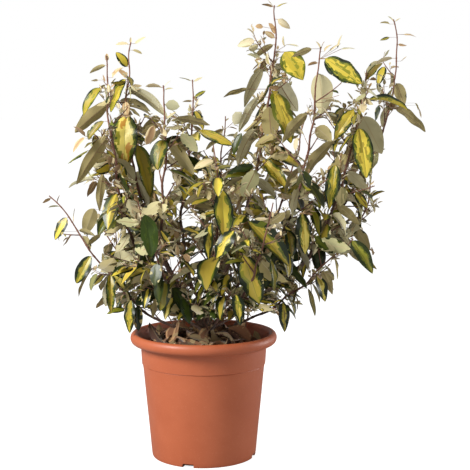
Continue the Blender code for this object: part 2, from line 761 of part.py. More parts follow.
def twig_leaves(twig, size, chance):
    """Leaves in two rows along a side twig, with one at its tip."""
    span = twig.tip - twig.foot
    along = span.normalized()
    side = math.degrees(math.atan2(along.y, along.x))
    count = int(span.length / TWIG_LEAF_SPACING)
    for number in range(count):
        last = number == count - 1
        share = TWIG_TIP_SHARE if last else (number + 1) / count
        tries = []
        for _ in range(TRIES):
            offset = chance.uniform(-TURN_JITTER, TURN_JITTER) * (1 + len(tries))
            if not last:
                offset += chance.uniform(*ROW_SPREAD) * (1 if number % 2 else -1)
            length = size * chance.uniform(*TWIG_LEAF_SIZE) * TRY_SHRINK ** len(tries)
            droop, roll = chance.uniform(*TWIG_LEAF_DROOP), chance.uniform(-LEAF_ROLL, LEAF_ROLL)
            width = chance.uniform(*LEAF_WIDTH)
            foot = twig.foot + span * share
            tries.append(Leaf(twig.stem, foot, side + offset, droop, roll, length, width))
        yield tries


def grow_foliage(paths, space):
    """Every mass's twigs and leaves. All the twigs come first, then the leaves, a stem at a time."""
    twigs = {stem.name: [] for stem in STEMS}
    leaves = {stem.name: [] for stem in STEMS}
    chances = {stem.name: random.Random(f"{SEED} {stem.name}") for stem in STEMS}

    def place(tries):
        for leaf in tries:
            if space.takes(leaf):
                space.add(leaf)
                leaves[leaf.stem].append(leaf)
                return

    for stem in STEMS:
        twigs[stem.name] = grow_twigs(stem, paths[stem.name], chances[stem.name], space)
    for leaf in shown_leaves(paths):
        place([leaf])
    for stem in STEMS:
        for tries in stem_leaves(stem, paths[stem.name], chances[stem.name]):
            place(tries)
    for stem in STEMS:
        for twig in twigs[stem.name]:
            for tries in twig_leaves(twig, stem.leaf, chances[stem.name]):
                place(tries)
    return twigs, leaves


def foliage_stem(stem, path, turn, section, collection):
    """The three-sided stem inside a mass, from 0.3 mm past the bough to the tip."""
    shares = path.shares(stem.bare + GAP / path.length, 1.0)
    made = tube(
        f"stem_{stem.name}",
        [path.place(s) for s in shares],
        [path.radius(s) * STEM_FULLNESS for s in shares],
        0,
        collection,
        section=section,
    )
    for point in made.data.splines[0].points:
        point.tilt = turn
    return as_mesh(made, collection)


def fuse(mass, collection):
    """The mesh of the union of a mass's stem with all that the collection holds."""
    union = mass.modifiers.new("fuse", "BOOLEAN")
    union.operation = "UNION"
    union.operand_type = "COLLECTION"
    union.collection = collection
    union.solver = "EXACT"
    bpy.context.view_layer.update()
    graph = bpy.context.evaluated_depsgraph_get()
    return bpy.data.meshes.new_from_object(mass.evaluated_get(graph))


def build_mass(stem, path, twigs, leaves, parts, section, finish):
    """One mass: its stem, with its twigs and leaves fused on.

    Where two corners of the union fall together, the wood is turned a little and fused again.
    """
    fused = new_collection(f"fused_{stem.name}")
    for attempt in range(FUSE_TRIES):
        turn = math.radians(FUSE_TURN * attempt)
        mass = foliage_stem(stem, path, turn, section, parts)
        for twig in twigs:
            twig_solid(twig, turn, fused)
        for leaf in leaves:
            leaf_solid(leaf, fused)
        mesh = fuse(mass, fused)
        bpy.data.objects.remove(mass)
        for found in list(fused.objects):
            bpy.data.objects.remove(found, do_unlink=True)
        drop_scraps(mesh)
        if is_sound(mesh):
            break
    bpy.data.collections.remove(fused)
    mesh.materials.clear()
    return new_object(f"foliage_{stem.name}", mesh, parts, finish)


def is_sound(mesh):
    """True if the mesh stays closed when corners that all but touch are welded."""
    shape = bmesh.new()
    shape.from_mesh(mesh)
    bmesh.ops.remove_doubles(shape, verts=shape.verts, dist=NEAREST_CORNERS)
    closed = all(len(edge.link_faces) == 2 for edge in shape.edges)
    shape.free()
    return closed


def islands(shape):
    """The connected pieces of a mesh, as lists of vertices."""
    left = set(shape.verts)
    while left:
        todo = [left.pop()]
        piece = []
        while todo:
            vertex = todo.pop()
            piece.append(vertex)
            for edge in vertex.link_edges:
                other = edge.other_vert(vertex)
                if other in left:
                    left.remove(other)
                    todo.append(other)
        yield piece


def drop_scraps(mesh):
    """Keeps only the mesh's largest connected piece, in triangles."""
    shape = bmesh.new()
    shape.from_mesh(mesh)
    bmesh.ops.triangulate(shape, faces=shape.faces)
    pieces = sorted(islands(shape), key=len)
    for piece in pieces[:-1]:
        bmesh.ops.delete(shape, geom=piece, context="VERTS")
    shape.to_mesh(mesh)
    shape.free()


def main():
    clear_scene()
    parts = new_collection("elaeagnus_shrub")
    cutters = new_collection("cutters")
    bark = material("bark", BARK_BROWN, 0.8)
    foliage = material("foliage", LEAF_GREEN, 0.5)
    build_pot(parts, cutters, material("pot_plastic", TERRACOTTA, 0.45))
    build_soil(parts, material("soil", SOIL_BROWN, 0.95))
    trunk, trunk_path = build_trunk(parts, bark)
    paths, trees = {"trunk": trunk_path}, {"trunk": tree_of(trunk)}
    build_boughs(parts, bark, paths, trees)
    section = triangle_section(cutters)
    space = Space()
    for tree in trees.values():
        space.add_limb("", tree)
    for stem in STEMS:
        path = paths[stem.name]
        shares = path.shares(stem.bare, 1.0)
        for low, high in zip(shares, shares[1:]):
            piece = segment_tree(path.place(low), path.place(high), path.radius(low))
            space.add_limb(stem.name, piece)
    twigs, leaves = grow_foliage(paths, space)
    for stem in STEMS:
        name = stem.name
        build_mass(stem, paths[name], twigs[name], leaves[name], parts, section, foliage)


main()
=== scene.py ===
"""The looks of a potted elaeagnus shrub with yellow-centred leaves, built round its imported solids.

The twigs and leaves grow along the same stems as in the solids and by the same rule, carried on to
finer shoots. Bark, soil, litter and pot are modelled round the same sizes. Lengths are in metres and
angles in degrees, but SHOWN_LEAVES and OPENINGS list lengths in millimetres. +Z is up, the pot's axis
is the origin's, and headings turn from +X through +Y.
"""

import json
import logging
import math
import random
from collections.abc import Callable, Iterable, Iterator, Sequence
from dataclasses import dataclass, field, replace
from enum import Enum
from functools import cache
from itertools import product

import bmesh
import bpy
import numpy as np
from mathutils import Matrix, Vector, noise
from mathutils.bvhtree import BVHTree

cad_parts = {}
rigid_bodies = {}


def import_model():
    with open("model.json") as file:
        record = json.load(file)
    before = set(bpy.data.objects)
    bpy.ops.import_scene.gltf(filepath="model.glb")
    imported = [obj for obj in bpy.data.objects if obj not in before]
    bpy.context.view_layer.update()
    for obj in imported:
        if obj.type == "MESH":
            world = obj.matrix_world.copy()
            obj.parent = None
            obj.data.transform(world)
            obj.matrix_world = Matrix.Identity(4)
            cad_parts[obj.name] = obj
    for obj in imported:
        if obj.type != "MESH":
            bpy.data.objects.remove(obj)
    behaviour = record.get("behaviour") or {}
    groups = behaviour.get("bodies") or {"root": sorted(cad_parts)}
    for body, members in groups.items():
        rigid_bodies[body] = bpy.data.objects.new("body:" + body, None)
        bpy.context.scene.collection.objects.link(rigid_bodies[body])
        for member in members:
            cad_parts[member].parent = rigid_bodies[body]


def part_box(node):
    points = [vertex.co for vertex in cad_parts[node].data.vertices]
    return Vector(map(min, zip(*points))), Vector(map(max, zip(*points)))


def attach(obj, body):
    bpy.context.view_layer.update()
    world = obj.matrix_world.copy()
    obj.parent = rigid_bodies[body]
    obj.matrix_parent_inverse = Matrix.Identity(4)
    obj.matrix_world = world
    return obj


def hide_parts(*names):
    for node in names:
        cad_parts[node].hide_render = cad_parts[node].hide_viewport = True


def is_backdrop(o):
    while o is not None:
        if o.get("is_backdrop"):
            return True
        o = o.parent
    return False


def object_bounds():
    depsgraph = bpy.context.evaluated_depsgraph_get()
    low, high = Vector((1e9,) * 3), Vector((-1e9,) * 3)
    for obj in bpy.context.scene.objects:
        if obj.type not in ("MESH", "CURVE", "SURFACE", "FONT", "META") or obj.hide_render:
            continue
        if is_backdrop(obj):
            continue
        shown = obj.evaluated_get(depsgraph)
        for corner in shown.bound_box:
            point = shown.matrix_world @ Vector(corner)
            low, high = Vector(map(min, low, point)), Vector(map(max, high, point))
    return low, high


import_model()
CAD_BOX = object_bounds()

Pair = tuple[float, float]
Triple = tuple[float, float, float]
Colour = tuple[int, int, int]
Socket = bpy.types.NodeSocket

LOG = logging.getLogger("elaeagnus")
VIEWPOINT = (0.0556, -2.0, 0.607)
FAR = 10.0
WOBBLE_SEED = 7
BODY = "root"
UP = Vector((0.0, 0.0, 1.0))


def linear(colour: Sequence[int]) -> tuple[float, float, float, float]:
    """Turns a screen colour into the linear one that a shader takes.

    Args:
        colour: red, green and blue from 0 to 255.

    Returns:
        Red, green, blue and alpha from 0 to 1.
    """
    shares = [channel / 255 for channel in colour]
    return (*(s / 12.92 if s <= 0.04045 else ((s + 0.055) / 1.055) ** 2.4 for s in shares), 1.0)


def compass(heading: float) -> Vector:
    """The level unit vector at this heading."""
    turn = math.radians(heading)
    return Vector((math.cos(turn), math.sin(turn), 0.0))


def in_view(points: Iterable[Sequence[float]]) -> np.ndarray:
    """Where points are seen from the front, as X and Z in the plane of the trunk."""
    ways = np.array([tuple(point) for point in points]) - np.array(VIEWPOINT)
    return (np.array(VIEWPOINT) + ways * (-VIEWPOINT[1] / ways[:, 1:2]))[:, ::2]


def between(chance: random.Random, limits: Pair) -> float:
    """A random value between two limits."""
    return chance.uniform(*limits)


def limited(value: float, low: float = 0.0, high: float = 1.0) -> float:
    """The value, or the nearer of two limits where it lies beyond them."""
    return max(low, min(high, value))


# Finishes


@dataclass(frozen=True)
class Tone:
    """A plain finish of one colour, for small things whose colours have a place."""

    name: str
    colour: Colour
    roughness: float = 0.6
    specular: float = 0.5
    coat: float = 0.0
    sheen: float = 0.0
    coat_roughness: float = 0.22
    sheen_roughness: float = 0.5

    def material(self) -> bpy.types.Material:
        """The finish as a material, made once.

        Returns:
            The material with this tone's name.
        """
        made = bpy.data.materials.get(self.name)
        if made is None:
            made = bpy.data.materials.new(self.name)
            made.use_nodes = True
            values = {
                "Base Color": linear(self.colour),
                "Roughness": self.roughness,
                "Specular IOR Level": self.specular,
                "Coat Weight": self.coat,
                "Coat Roughness": self.coat_roughness,
                "Sheen Weight": self.sheen,
                "Sheen Roughness": self.sheen_roughness,
            }
            for name, value in values.items():
                made.node_tree.nodes["Principled BSDF"].inputs[name].default_value = value
        return made


class Zone(Enum):
    """What a face of a leaf shows."""

    STALK = 0
    MARGIN = 1
    INNER = 2
    BAND = 3
    CENTRE = 4
    BLOTCH = 5
    UNDER = 6
    RIB = 7
    VEIN = 8
    MOTTLE = 9


def glossy(**colours: Colour) -> tuple[Tone, ...]:
    """Tones of the shiny upper side of a leaf, by name."""
    return tuple(Tone(f"leaf_{name}", colour, 0.36, 0.3, coat=0.10) for name, colour in colours.items())


def scaly(kind: str = "leaf", **colours: Colour) -> tuple[Tone, ...]:
    """Tones of the scaly side of a leaf, or of another kind of thing that is as dull, by name."""
    return tuple(Tone(f"{kind}_{name}", colour, 0.82, 0.3, sheen=0.25) for name, colour in colours.items())


STALK_TONES = scaly(stalk=(138, 108, 78), stalk_red=(122, 80, 58))
DEEP_GREENS = glossy(green_deep=(26, 36, 7), green_dark=(40, 51, 10), green_blue=(24, 35, 13))
MID_GREENS = glossy(green_mid=(44, 57, 12), green_moss=(60, 68, 16))
FRESH_GREENS = glossy(green_fresh=(72, 92, 18), green_grass=(60, 80, 18))
OLIVE_GREENS = glossy(olive_green=(88, 96, 18), olive_dark=(70, 82, 16), olive_pale=(100, 106, 26))
LIME_GREENS = glossy(lime=(118, 120, 30), lime_dark=(98, 106, 26), lime_pale=(136, 134, 38))
YELLOWS = glossy(
    yellow=(206, 184, 66), yellow_deep=(188, 168, 54), yellow_pale=(216, 198, 98), yellow_old=(172, 152, 54)
)
DULL_YELLOWS = glossy(mustard=(152, 134, 42), yellow_deep=(188, 168, 54), olive_gold=(134, 124, 40))
GOLDEN = glossy(golden=(188, 160, 62), mustard=(152, 134, 42), lime_pale=(136, 134, 38))
SCORCHED = glossy(scorch=(184, 134, 52), golden=(188, 160, 62))
BROWNED = glossy(browned=(140, 122, 42), bronze=(118, 98, 34))
VEINS = glossy(vein=(166, 156, 62), vein_dark=(132, 128, 46))
SILVER = scaly(
    silver=(184, 174, 128),
    silver_khaki=(174, 160, 110),
    silver_green=(172, 168, 122),
    silver_pale=(186, 178, 138),
    silver_olive=(160, 146, 94),
)
PALE_SILVER = scaly(silver_light=(204, 198, 164), silver_pale=(186, 178, 138))
KHAKIS = scaly(khaki=(172, 158, 108), khaki_dark=(152, 138, 90))
RIBS = scaly(rib=(180, 166, 126), rib_brown=(140, 114, 82))
DULL_GREENS = scaly(dull_green=(100, 102, 62), dull_olive=(116, 108, 68), dull_moss=(84, 88, 52))
DULL_CENTRES = scaly(dull_gold=(148, 134, 76), dull_khaki=(142, 130, 88), dull_lime=(128, 126, 72))
YOUNG_TONES = scaly(
    "young", beige=(196, 178, 136), khaki=(168, 154, 106), silver=(182, 178, 140), cream=(210, 196, 160)
)
TAN_TONES = scaly("young", tan=(176, 144, 102), brown=(142, 112, 76), beige=(196, 178, 136))
DEAD_TONES = scaly(
    "dead", tan=(172, 134, 92), brown=(122, 84, 56), khaki=(148, 126, 88), umber=(80, 52, 38)
)
WOOD_TONES = scaly("twig", brown=(76, 54, 44), red_brown=(102, 66, 52), young=(124, 84, 66))
WOOD_OLD, WOOD_MID, WOOD_YOUNG = WOOD_TONES
(SHOOT_WOOD,) = scaly("shoot", scaly=(142, 108, 80))


@dataclass(frozen=True)
class Dress:
    """The tones that a kind of leaf may take in each zone."""

    margin: tuple[Tone, ...] = DEEP_GREENS
    inner: tuple[Tone, ...] = OLIVE_GREENS
    band: tuple[Tone, ...] = LIME_GREENS
    centre: tuple[Tone, ...] = YELLOWS
    blotch: tuple[Tone, ...] = GOLDEN
    under: tuple[Tone, ...] = SILVER
    rib: tuple[Tone, ...] = RIBS
    stalk: tuple[Tone, ...] = STALK_TONES
    vein: tuple[Tone, ...] = VEINS
    mottle: tuple[Tone, ...] = SILVER

    def tones(self, chance: random.Random) -> list[Tone]:
        """One tone for each zone, in the order of the zones."""
        return [chance.choice(getattr(self, zone.name.lower())) for zone in Zone]


def plain(tones: tuple[Tone, ...], under: tuple[Tone, ...] = SILVER) -> Dress:
    """The dress of a leaf whose upper side is all of one kind."""
    return Dress(*(tones,) * 5, under, vein=tones, mottle=under)


VARIEGATED = Dress()
SHADED = Dress(band=OLIVE_GREENS, centre=DULL_YELLOWS, blotch=BROWNED, under=KHAKIS, mottle=KHAKIS)
SCORCHED_LEAF = Dress(blotch=SCORCHED)
SUNLIT = Dress(margin=OLIVE_GREENS, inner=LIME_GREENS, band=YELLOWS)
BRONZE = Dress(band=OLIVE_GREENS, centre=BROWNED, blotch=DULL_YELLOWS, vein=OLIVE_GREENS)
GREEN = Dress(inner=DEEP_GREENS, band=MID_GREENS, centre=MID_GREENS, blotch=DEEP_GREENS, vein=MID_GREENS)
FRESH = plain(FRESH_GREENS)
LIME = Dress(band=OLIVE_GREENS, centre=LIME_GREENS, blotch=DULL_YELLOWS, vein=OLIVE_GREENS)
DULL = Dress(*(DULL_GREENS,) * 3, DULL_CENTRES, DULL_GREENS, vein=DULL_CENTRES)
KHAKI = Dress(centre=DULL_YELLOWS, under=KHAKIS, mottle=KHAKIS)
PALE = Dress(under=PALE_SILVER, mottle=PALE_SILVER)
YOUNG = plain(YOUNG_TONES, YOUNG_TONES)
TAN = plain(TAN_TONES, TAN_TONES)
DEAD = Dress(*(DEAD_TONES,) * 10)


# Joined shapes


@dataclass
class Shape:
    """A closed form as arrays: corners, each face's corners end to end, face sizes and face kinds."""

    corners: np.ndarray
    loops: np.ndarray
    sizes: np.ndarray
    kinds: np.ndarray


def as_shape(form: bmesh.types.BMesh, kinds: Sequence[int] | None = None) -> Shape:
    """Reads a bmesh out as arrays and frees it.

    Args:
        form: the bmesh, closed.
        kinds: a number for each face, all 0 if left out.

    Returns:
        The shape, with its faces pointing outwards.
    """
    form.verts.index_update()
    corners = np.array([vertex.co for vertex in form.verts])
    faces = [[vertex.index for vertex in face.verts] for face in form.faces]
    if form.calc_volume(signed=True) < 0:
        faces = [face[::-1] for face in faces]
    form.free()
    loops = [index for face in faces for index in face]
    lists = (loops, [len(face) for face in faces], kinds or [0] * len(faces))
    return Shape(corners, *(np.array(values, dtype=np.int32) for values in lists))


@dataclass
class Joined:
    """Many small shapes gathered into one mesh, with a material slot for each tone."""

    name: str
    sharp_angle: float = 70.0
    tones: list[Tone] = field(default_factory=list)
    parts: list[tuple[np.ndarray, Shape, np.ndarray]] = field(default_factory=list)

    def slot(self, tone: Tone) -> int:
        """Finds a tone's material slot, a new one if it has none.

        Args:
            tone: the tone.

        Returns:
            The slot's number.
        """
        if tone not in self.tones:
            self.tones.append(tone)
        return self.tones.index(tone)

    def add(self, corners: np.ndarray, shape: Shape, tones: Sequence[Tone]) -> None:
        """Adds a placed shape.

        Args:
            corners: its corners in place.
            shape: the shape whose faces it takes.
            tones: the tone for each kind of face.
        """
        slots = np.array([self.slot(tone) for tone in tones], dtype=np.int32)
        self.parts.append((corners, shape, slots[shape.kinds]))

    def make(self) -> bpy.types.Object:
        """Builds the mesh object.

        Returns:
            The object, linked to the scene.
        """
        offsets = np.cumsum([0] + [len(corners) for corners, _, _ in self.parts])
        corners = np.concatenate([corners for corners, _, _ in self.parts]).astype(np.float32)
        loops = np.concatenate([s.loops + o for (_, s, _), o in zip(self.parts, offsets)])
        sizes = np.concatenate([shape.sizes for _, shape, _ in self.parts])
        slots = np.concatenate([slots for _, _, slots in self.parts])
        mesh = bpy.data.meshes.new(self.name)
        mesh.vertices.add(len(corners))
        mesh.vertices.foreach_set("co", corners.ravel())
        mesh.loops.add(len(loops))
        mesh.loops.foreach_set("vertex_index", loops.astype(np.int32))
        mesh.polygons.add(len(sizes))
        starts = np.cumsum(sizes) - sizes
        mesh.polygons.foreach_set("loop_start", starts.astype(np.int32))
        mesh.polygons.foreach_set("material_index", slots)
        mesh.update(calc_edges=True)
        mesh.validate()
        for tone in self.tones:
            mesh.materials.append(tone.material())
        return smooth_object(mesh, self.sharp_angle)


def smooth_object(mesh: bpy.types.Mesh, sharp_angle: float) -> bpy.types.Object:
    """Makes a smooth-shaded object of a mesh.

    Args:
        mesh: the mesh, whose name it takes.
        sharp_angle: the angle between faces from which an edge stays sharp.

    Returns:
        The object, linked to the scene.
    """
    mesh.shade_smooth()
    mesh.set_sharp_from_angle(angle=math.radians(sharp_angle))
    made = bpy.data.objects.new(mesh.name, mesh)
    bpy.context.scene.collection.objects.link(made)
    return made


def mesh_object(name: str, form: bmesh.types.BMesh, sharp_angle: float) -> bpy.types.Object:
    """Makes a smooth-shaded object of a bmesh and frees it.

    Args:
        name: the object's name.
        form: the bmesh.
        sharp_angle: the angle between faces from which an edge stays sharp.

    Returns:
        The object, linked to the scene.
    """
    mesh = bpy.data.meshes.new(name)
    form.to_mesh(mesh)
    form.free()
    return smooth_object(mesh, sharp_angle)


def finished(made: bpy.types.Object, nodes: Iterable[str] = ()) -> None:
    """Settles a piece on the plant's body and the nodes that it stands for.

    Args:
        made: the piece.
        nodes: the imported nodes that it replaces.
    """
    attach(made, BODY)
    if nodes:
        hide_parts(*nodes)
    triangles = sum(len(face.vertices) - 2 for face in made.data.polygons)
    LOG.info("%s: %d triangles", made.name, triangles)


# Paths and canes


@dataclass
class Path:
    """A smooth bent line with a tapering radius, measured along its length.

    It bends towards its elbow and on to its end, wobbles lightly, and past a share of its length it
    bows sideways along X. Run is how far apart its points are.
    """

    start: Vector
    elbow: Vector
    end: Vector
    foot_radius: float
    tip_radius: float
    taper: float = 0.85
    run: float = 0.006
    wobble: float = 0.0
    wobble_rate: float = 24.0
    bow: float = 0.0
    bow_from: float = 0.0

    def __post_init__(self) -> None:
        """Lays out its points, and the lengths up to them."""
        legs = (self.elbow - self.start).length + (self.end - self.elbow).length
        t = np.linspace(0.0, 1.0, max(3, round(legs / self.run)) + 1)[:, None]
        start, elbow, end = (np.array(place) for place in (self.start, self.elbow, self.end))
        self.points = start * (1 - t) ** 2 + elbow * 2 * t * (1 - t) + end * t * t
        if self.wobble:
            fade = np.minimum(1.0, t * 8)
            shifts = [noise.noise_vector(Vector(point) * self.wobble_rate) for point in self.points]
            self.points = self.points + np.array(shifts) * self.wobble * fade
        if self.bow:
            past = np.clip((t[:, 0] - self.bow_from) / (1 - self.bow_from), 0.0, 1.0)
            self.points[:, 0] += self.bow * 6.75 * past**2 * (1 - past)
        runs = np.linalg.norm(np.diff(self.points, axis=0), axis=1)
        self.lengths = np.concatenate(([0.0], np.cumsum(runs)))
        self.length = float(self.lengths[-1])

    def places(self, shares: np.ndarray) -> np.ndarray:
        """The points at some shares of the length."""
        wanted = np.asarray(shares) * self.length
        return np.stack([np.interp(wanted, self.lengths, axis) for axis in self.points.T], axis=-1)

    def place(self, share: float) -> Vector:
        """The point at a share of the length."""
        return Vector(self.places(np.array([share]))[0])

    def direction(self, share: float) -> Vector:
        """The way the line points at a share of the length."""
        low, high = max(0.0, share - 0.02), min(1.0, share + 0.02)
        return (self.place(high) - self.place(low)).normalized()

    def radius(self, share: float | np.ndarray) -> float | np.ndarray:
        """The radius at a share of the length, or at several."""
        return self.foot_radius + (self.tip_radius - self.foot_radius) * share**self.taper

    def share_at_height(self, height: float) -> float:
        """The share of the length where the line reaches a height."""
        return float(np.interp(height, self.points[:, 2], self.lengths)) / self.length

    def bars(self, start: float, run: float = 0.024) -> Iterator[tuple[Vector, Vector, float]]:
        """The straight bars that cover the line from a share of its length on.

        Args:
            start: the share where the first one starts.
            run: how long a bar may be.

        Returns:
            The ends and the radius of each bar.
        """
        count = max(1, math.ceil((1 - start) * self.length / run))
        shares = np.linspace(start, 1.0, count + 1)
        places = self.places(shares)
        for low, high, share in zip(places, places[1:], shares):
            yield Vector(low), Vector(high), self.radius(float(share))


@cache
def cane(sides: int, rings: int) -> Shape:
    """A straight cane of unit length and radius, whose faces' kinds are the numbers of their rings.

    Args:
        sides: how many sides it has.
        rings: how many rings of faces it has.

    Returns:
        The cane along +Z from 0 to 1, with a flat cap at each end.
    """
    form = bmesh.new()
    bmesh.ops.create_cone(form, cap_ends=True, segments=sides, radius1=1.0, radius2=1.0, depth=1.0)
    bmesh.ops.translate(form, vec=(0.0, 0.0, 0.5), verts=form.verts)
    lengthwise = [e for e in form.edges if abs(e.verts[0].co.z - e.verts[1].co.z) > 0.5]
    bmesh.ops.subdivide_edges(form, edges=lengthwise, cuts=rings - 1)
    middles = [face.calc_center_median().z for face in form.faces]
    return as_shape(form, [min(rings - 1, int(middle * rings)) for middle in middles])


def bent_cane(
    shape: Shape,
    path: Path,
    start: float = 0.0,
    end: float = 1.0,
    swell: Callable[[np.ndarray], np.ndarray] | None = None,
    relief: Callable[[np.ndarray], np.ndarray] | None = None,
) -> np.ndarray:
    """Bends a straight cane along a path.

    Args:
        shape: the cane.
        path: the path that it follows.
        start: the share of the path where it starts.
        end: the share where it ends.
        swell: factors on the radius for shares of the path.
        relief: what is added to the radius at points of the bare surface.

    Returns:
        The cane's corners in place.
    """
    levels, ring = np.unique(np.round(shape.corners[:, 2], 6), return_inverse=True)
    shares = start + levels * (end - start)
    centres = path.places(shares)
    ways = np.gradient(centres, axis=0)
    ways /= np.linalg.norm(ways, axis=1)[:, None]
    across = np.empty_like(ways)
    side = np.array(Vector(ways[0]).orthogonal().normalized())
    for index, way in enumerate(ways):
        side = side - way * side.dot(way)
        side /= np.linalg.norm(side)
        across[index] = side
    radii = path.radius(shares)
    if swell:
        radii = radii * swell(shares)
    over = np.cross(ways, across)
    round_out = shape.corners[:, :1] * across[ring] + shape.corners[:, 1:2] * over[ring]
    placed = centres[ring] + round_out * radii[ring][:, None]
    if relief:
        placed += round_out * relief(placed)[:, None]
    return placed


# Leaves


@dataclass
class Leaf:
    """A leaf: its foot on the wood, the ways its stalk and blade point, its upper side and its size.

    Its width is a share of its length, and so is its stalk's length.
    """

    foot: Vector
    out: Vector
    along: Vector
    above: Vector
    length: float
    width: float
    dress: Dress
    stalk: float = 0.11
    shown: bool = False

    def turn(self) -> np.ndarray:
        """The blade's turn, with its length, width and upper side as columns."""
        return np.array((self.along, self.above.cross(self.along), self.above)).T

    def base(self) -> Vector:
        """Where the blade starts, a stalk's length out from the foot."""
        return self.foot + self.out * (self.length * self.stalk)

    def middle(self) -> Vector:
        """The blade's middle."""
        return self.base() + self.along * (self.length / 2)


def hanging_leaf(
    foot: Vector, heading: float, droop: float, roll: float, length: float, width: float, dress: Dress
) -> Leaf:
    """A leaf by the rule of the solids: a level stalk, and a blade that droops below it.

    Args:
        foot: where the stalk leaves the wood.
        heading: the level way that it points.
        droop: how far the blade hangs below the level.
        roll: how far the blade is turned about its midrib.
        length: the blade's length.
        width: the blade's width as a share of its length.
        dress: its colours.

    Returns:
        The leaf.
    """
    fall = math.radians(droop)
    out = compass(heading)
    along = out * math.cos(fall) - UP * math.sin(fall)
    above = UP * math.cos(fall) + out * math.sin(fall)
    above = Matrix.Rotation(math.radians(roll), 3, along) @ above
    return Leaf(foot, out, along, above, length, width, dress)


def pointing_leaf(
    foot: Vector, along: Vector, roll: float, length: float, width: float, dress: Dress
) -> Leaf:
    """A young leaf whose blade goes straight on from its stalk, with its upper side up.

    Args:
        foot: where the stalk leaves the wood.
        along: the way that the leaf points.
        roll: how far the blade is turned about its midrib.
        length: the blade's length.
        width: the blade's width as a share of its length.
        dress: its colours.

    Returns:
        The leaf.
    """
    above = UP - along * UP.dot(along)
    above = (above if above.length > 0.05 else along.orthogonal()).normalized()
    above = Matrix.Rotation(math.radians(roll), 3, along) @ above
    return Leaf(foot, along, along, above, length, width, dress, 0.14)


NOMINAL_WIDTH = 0.45


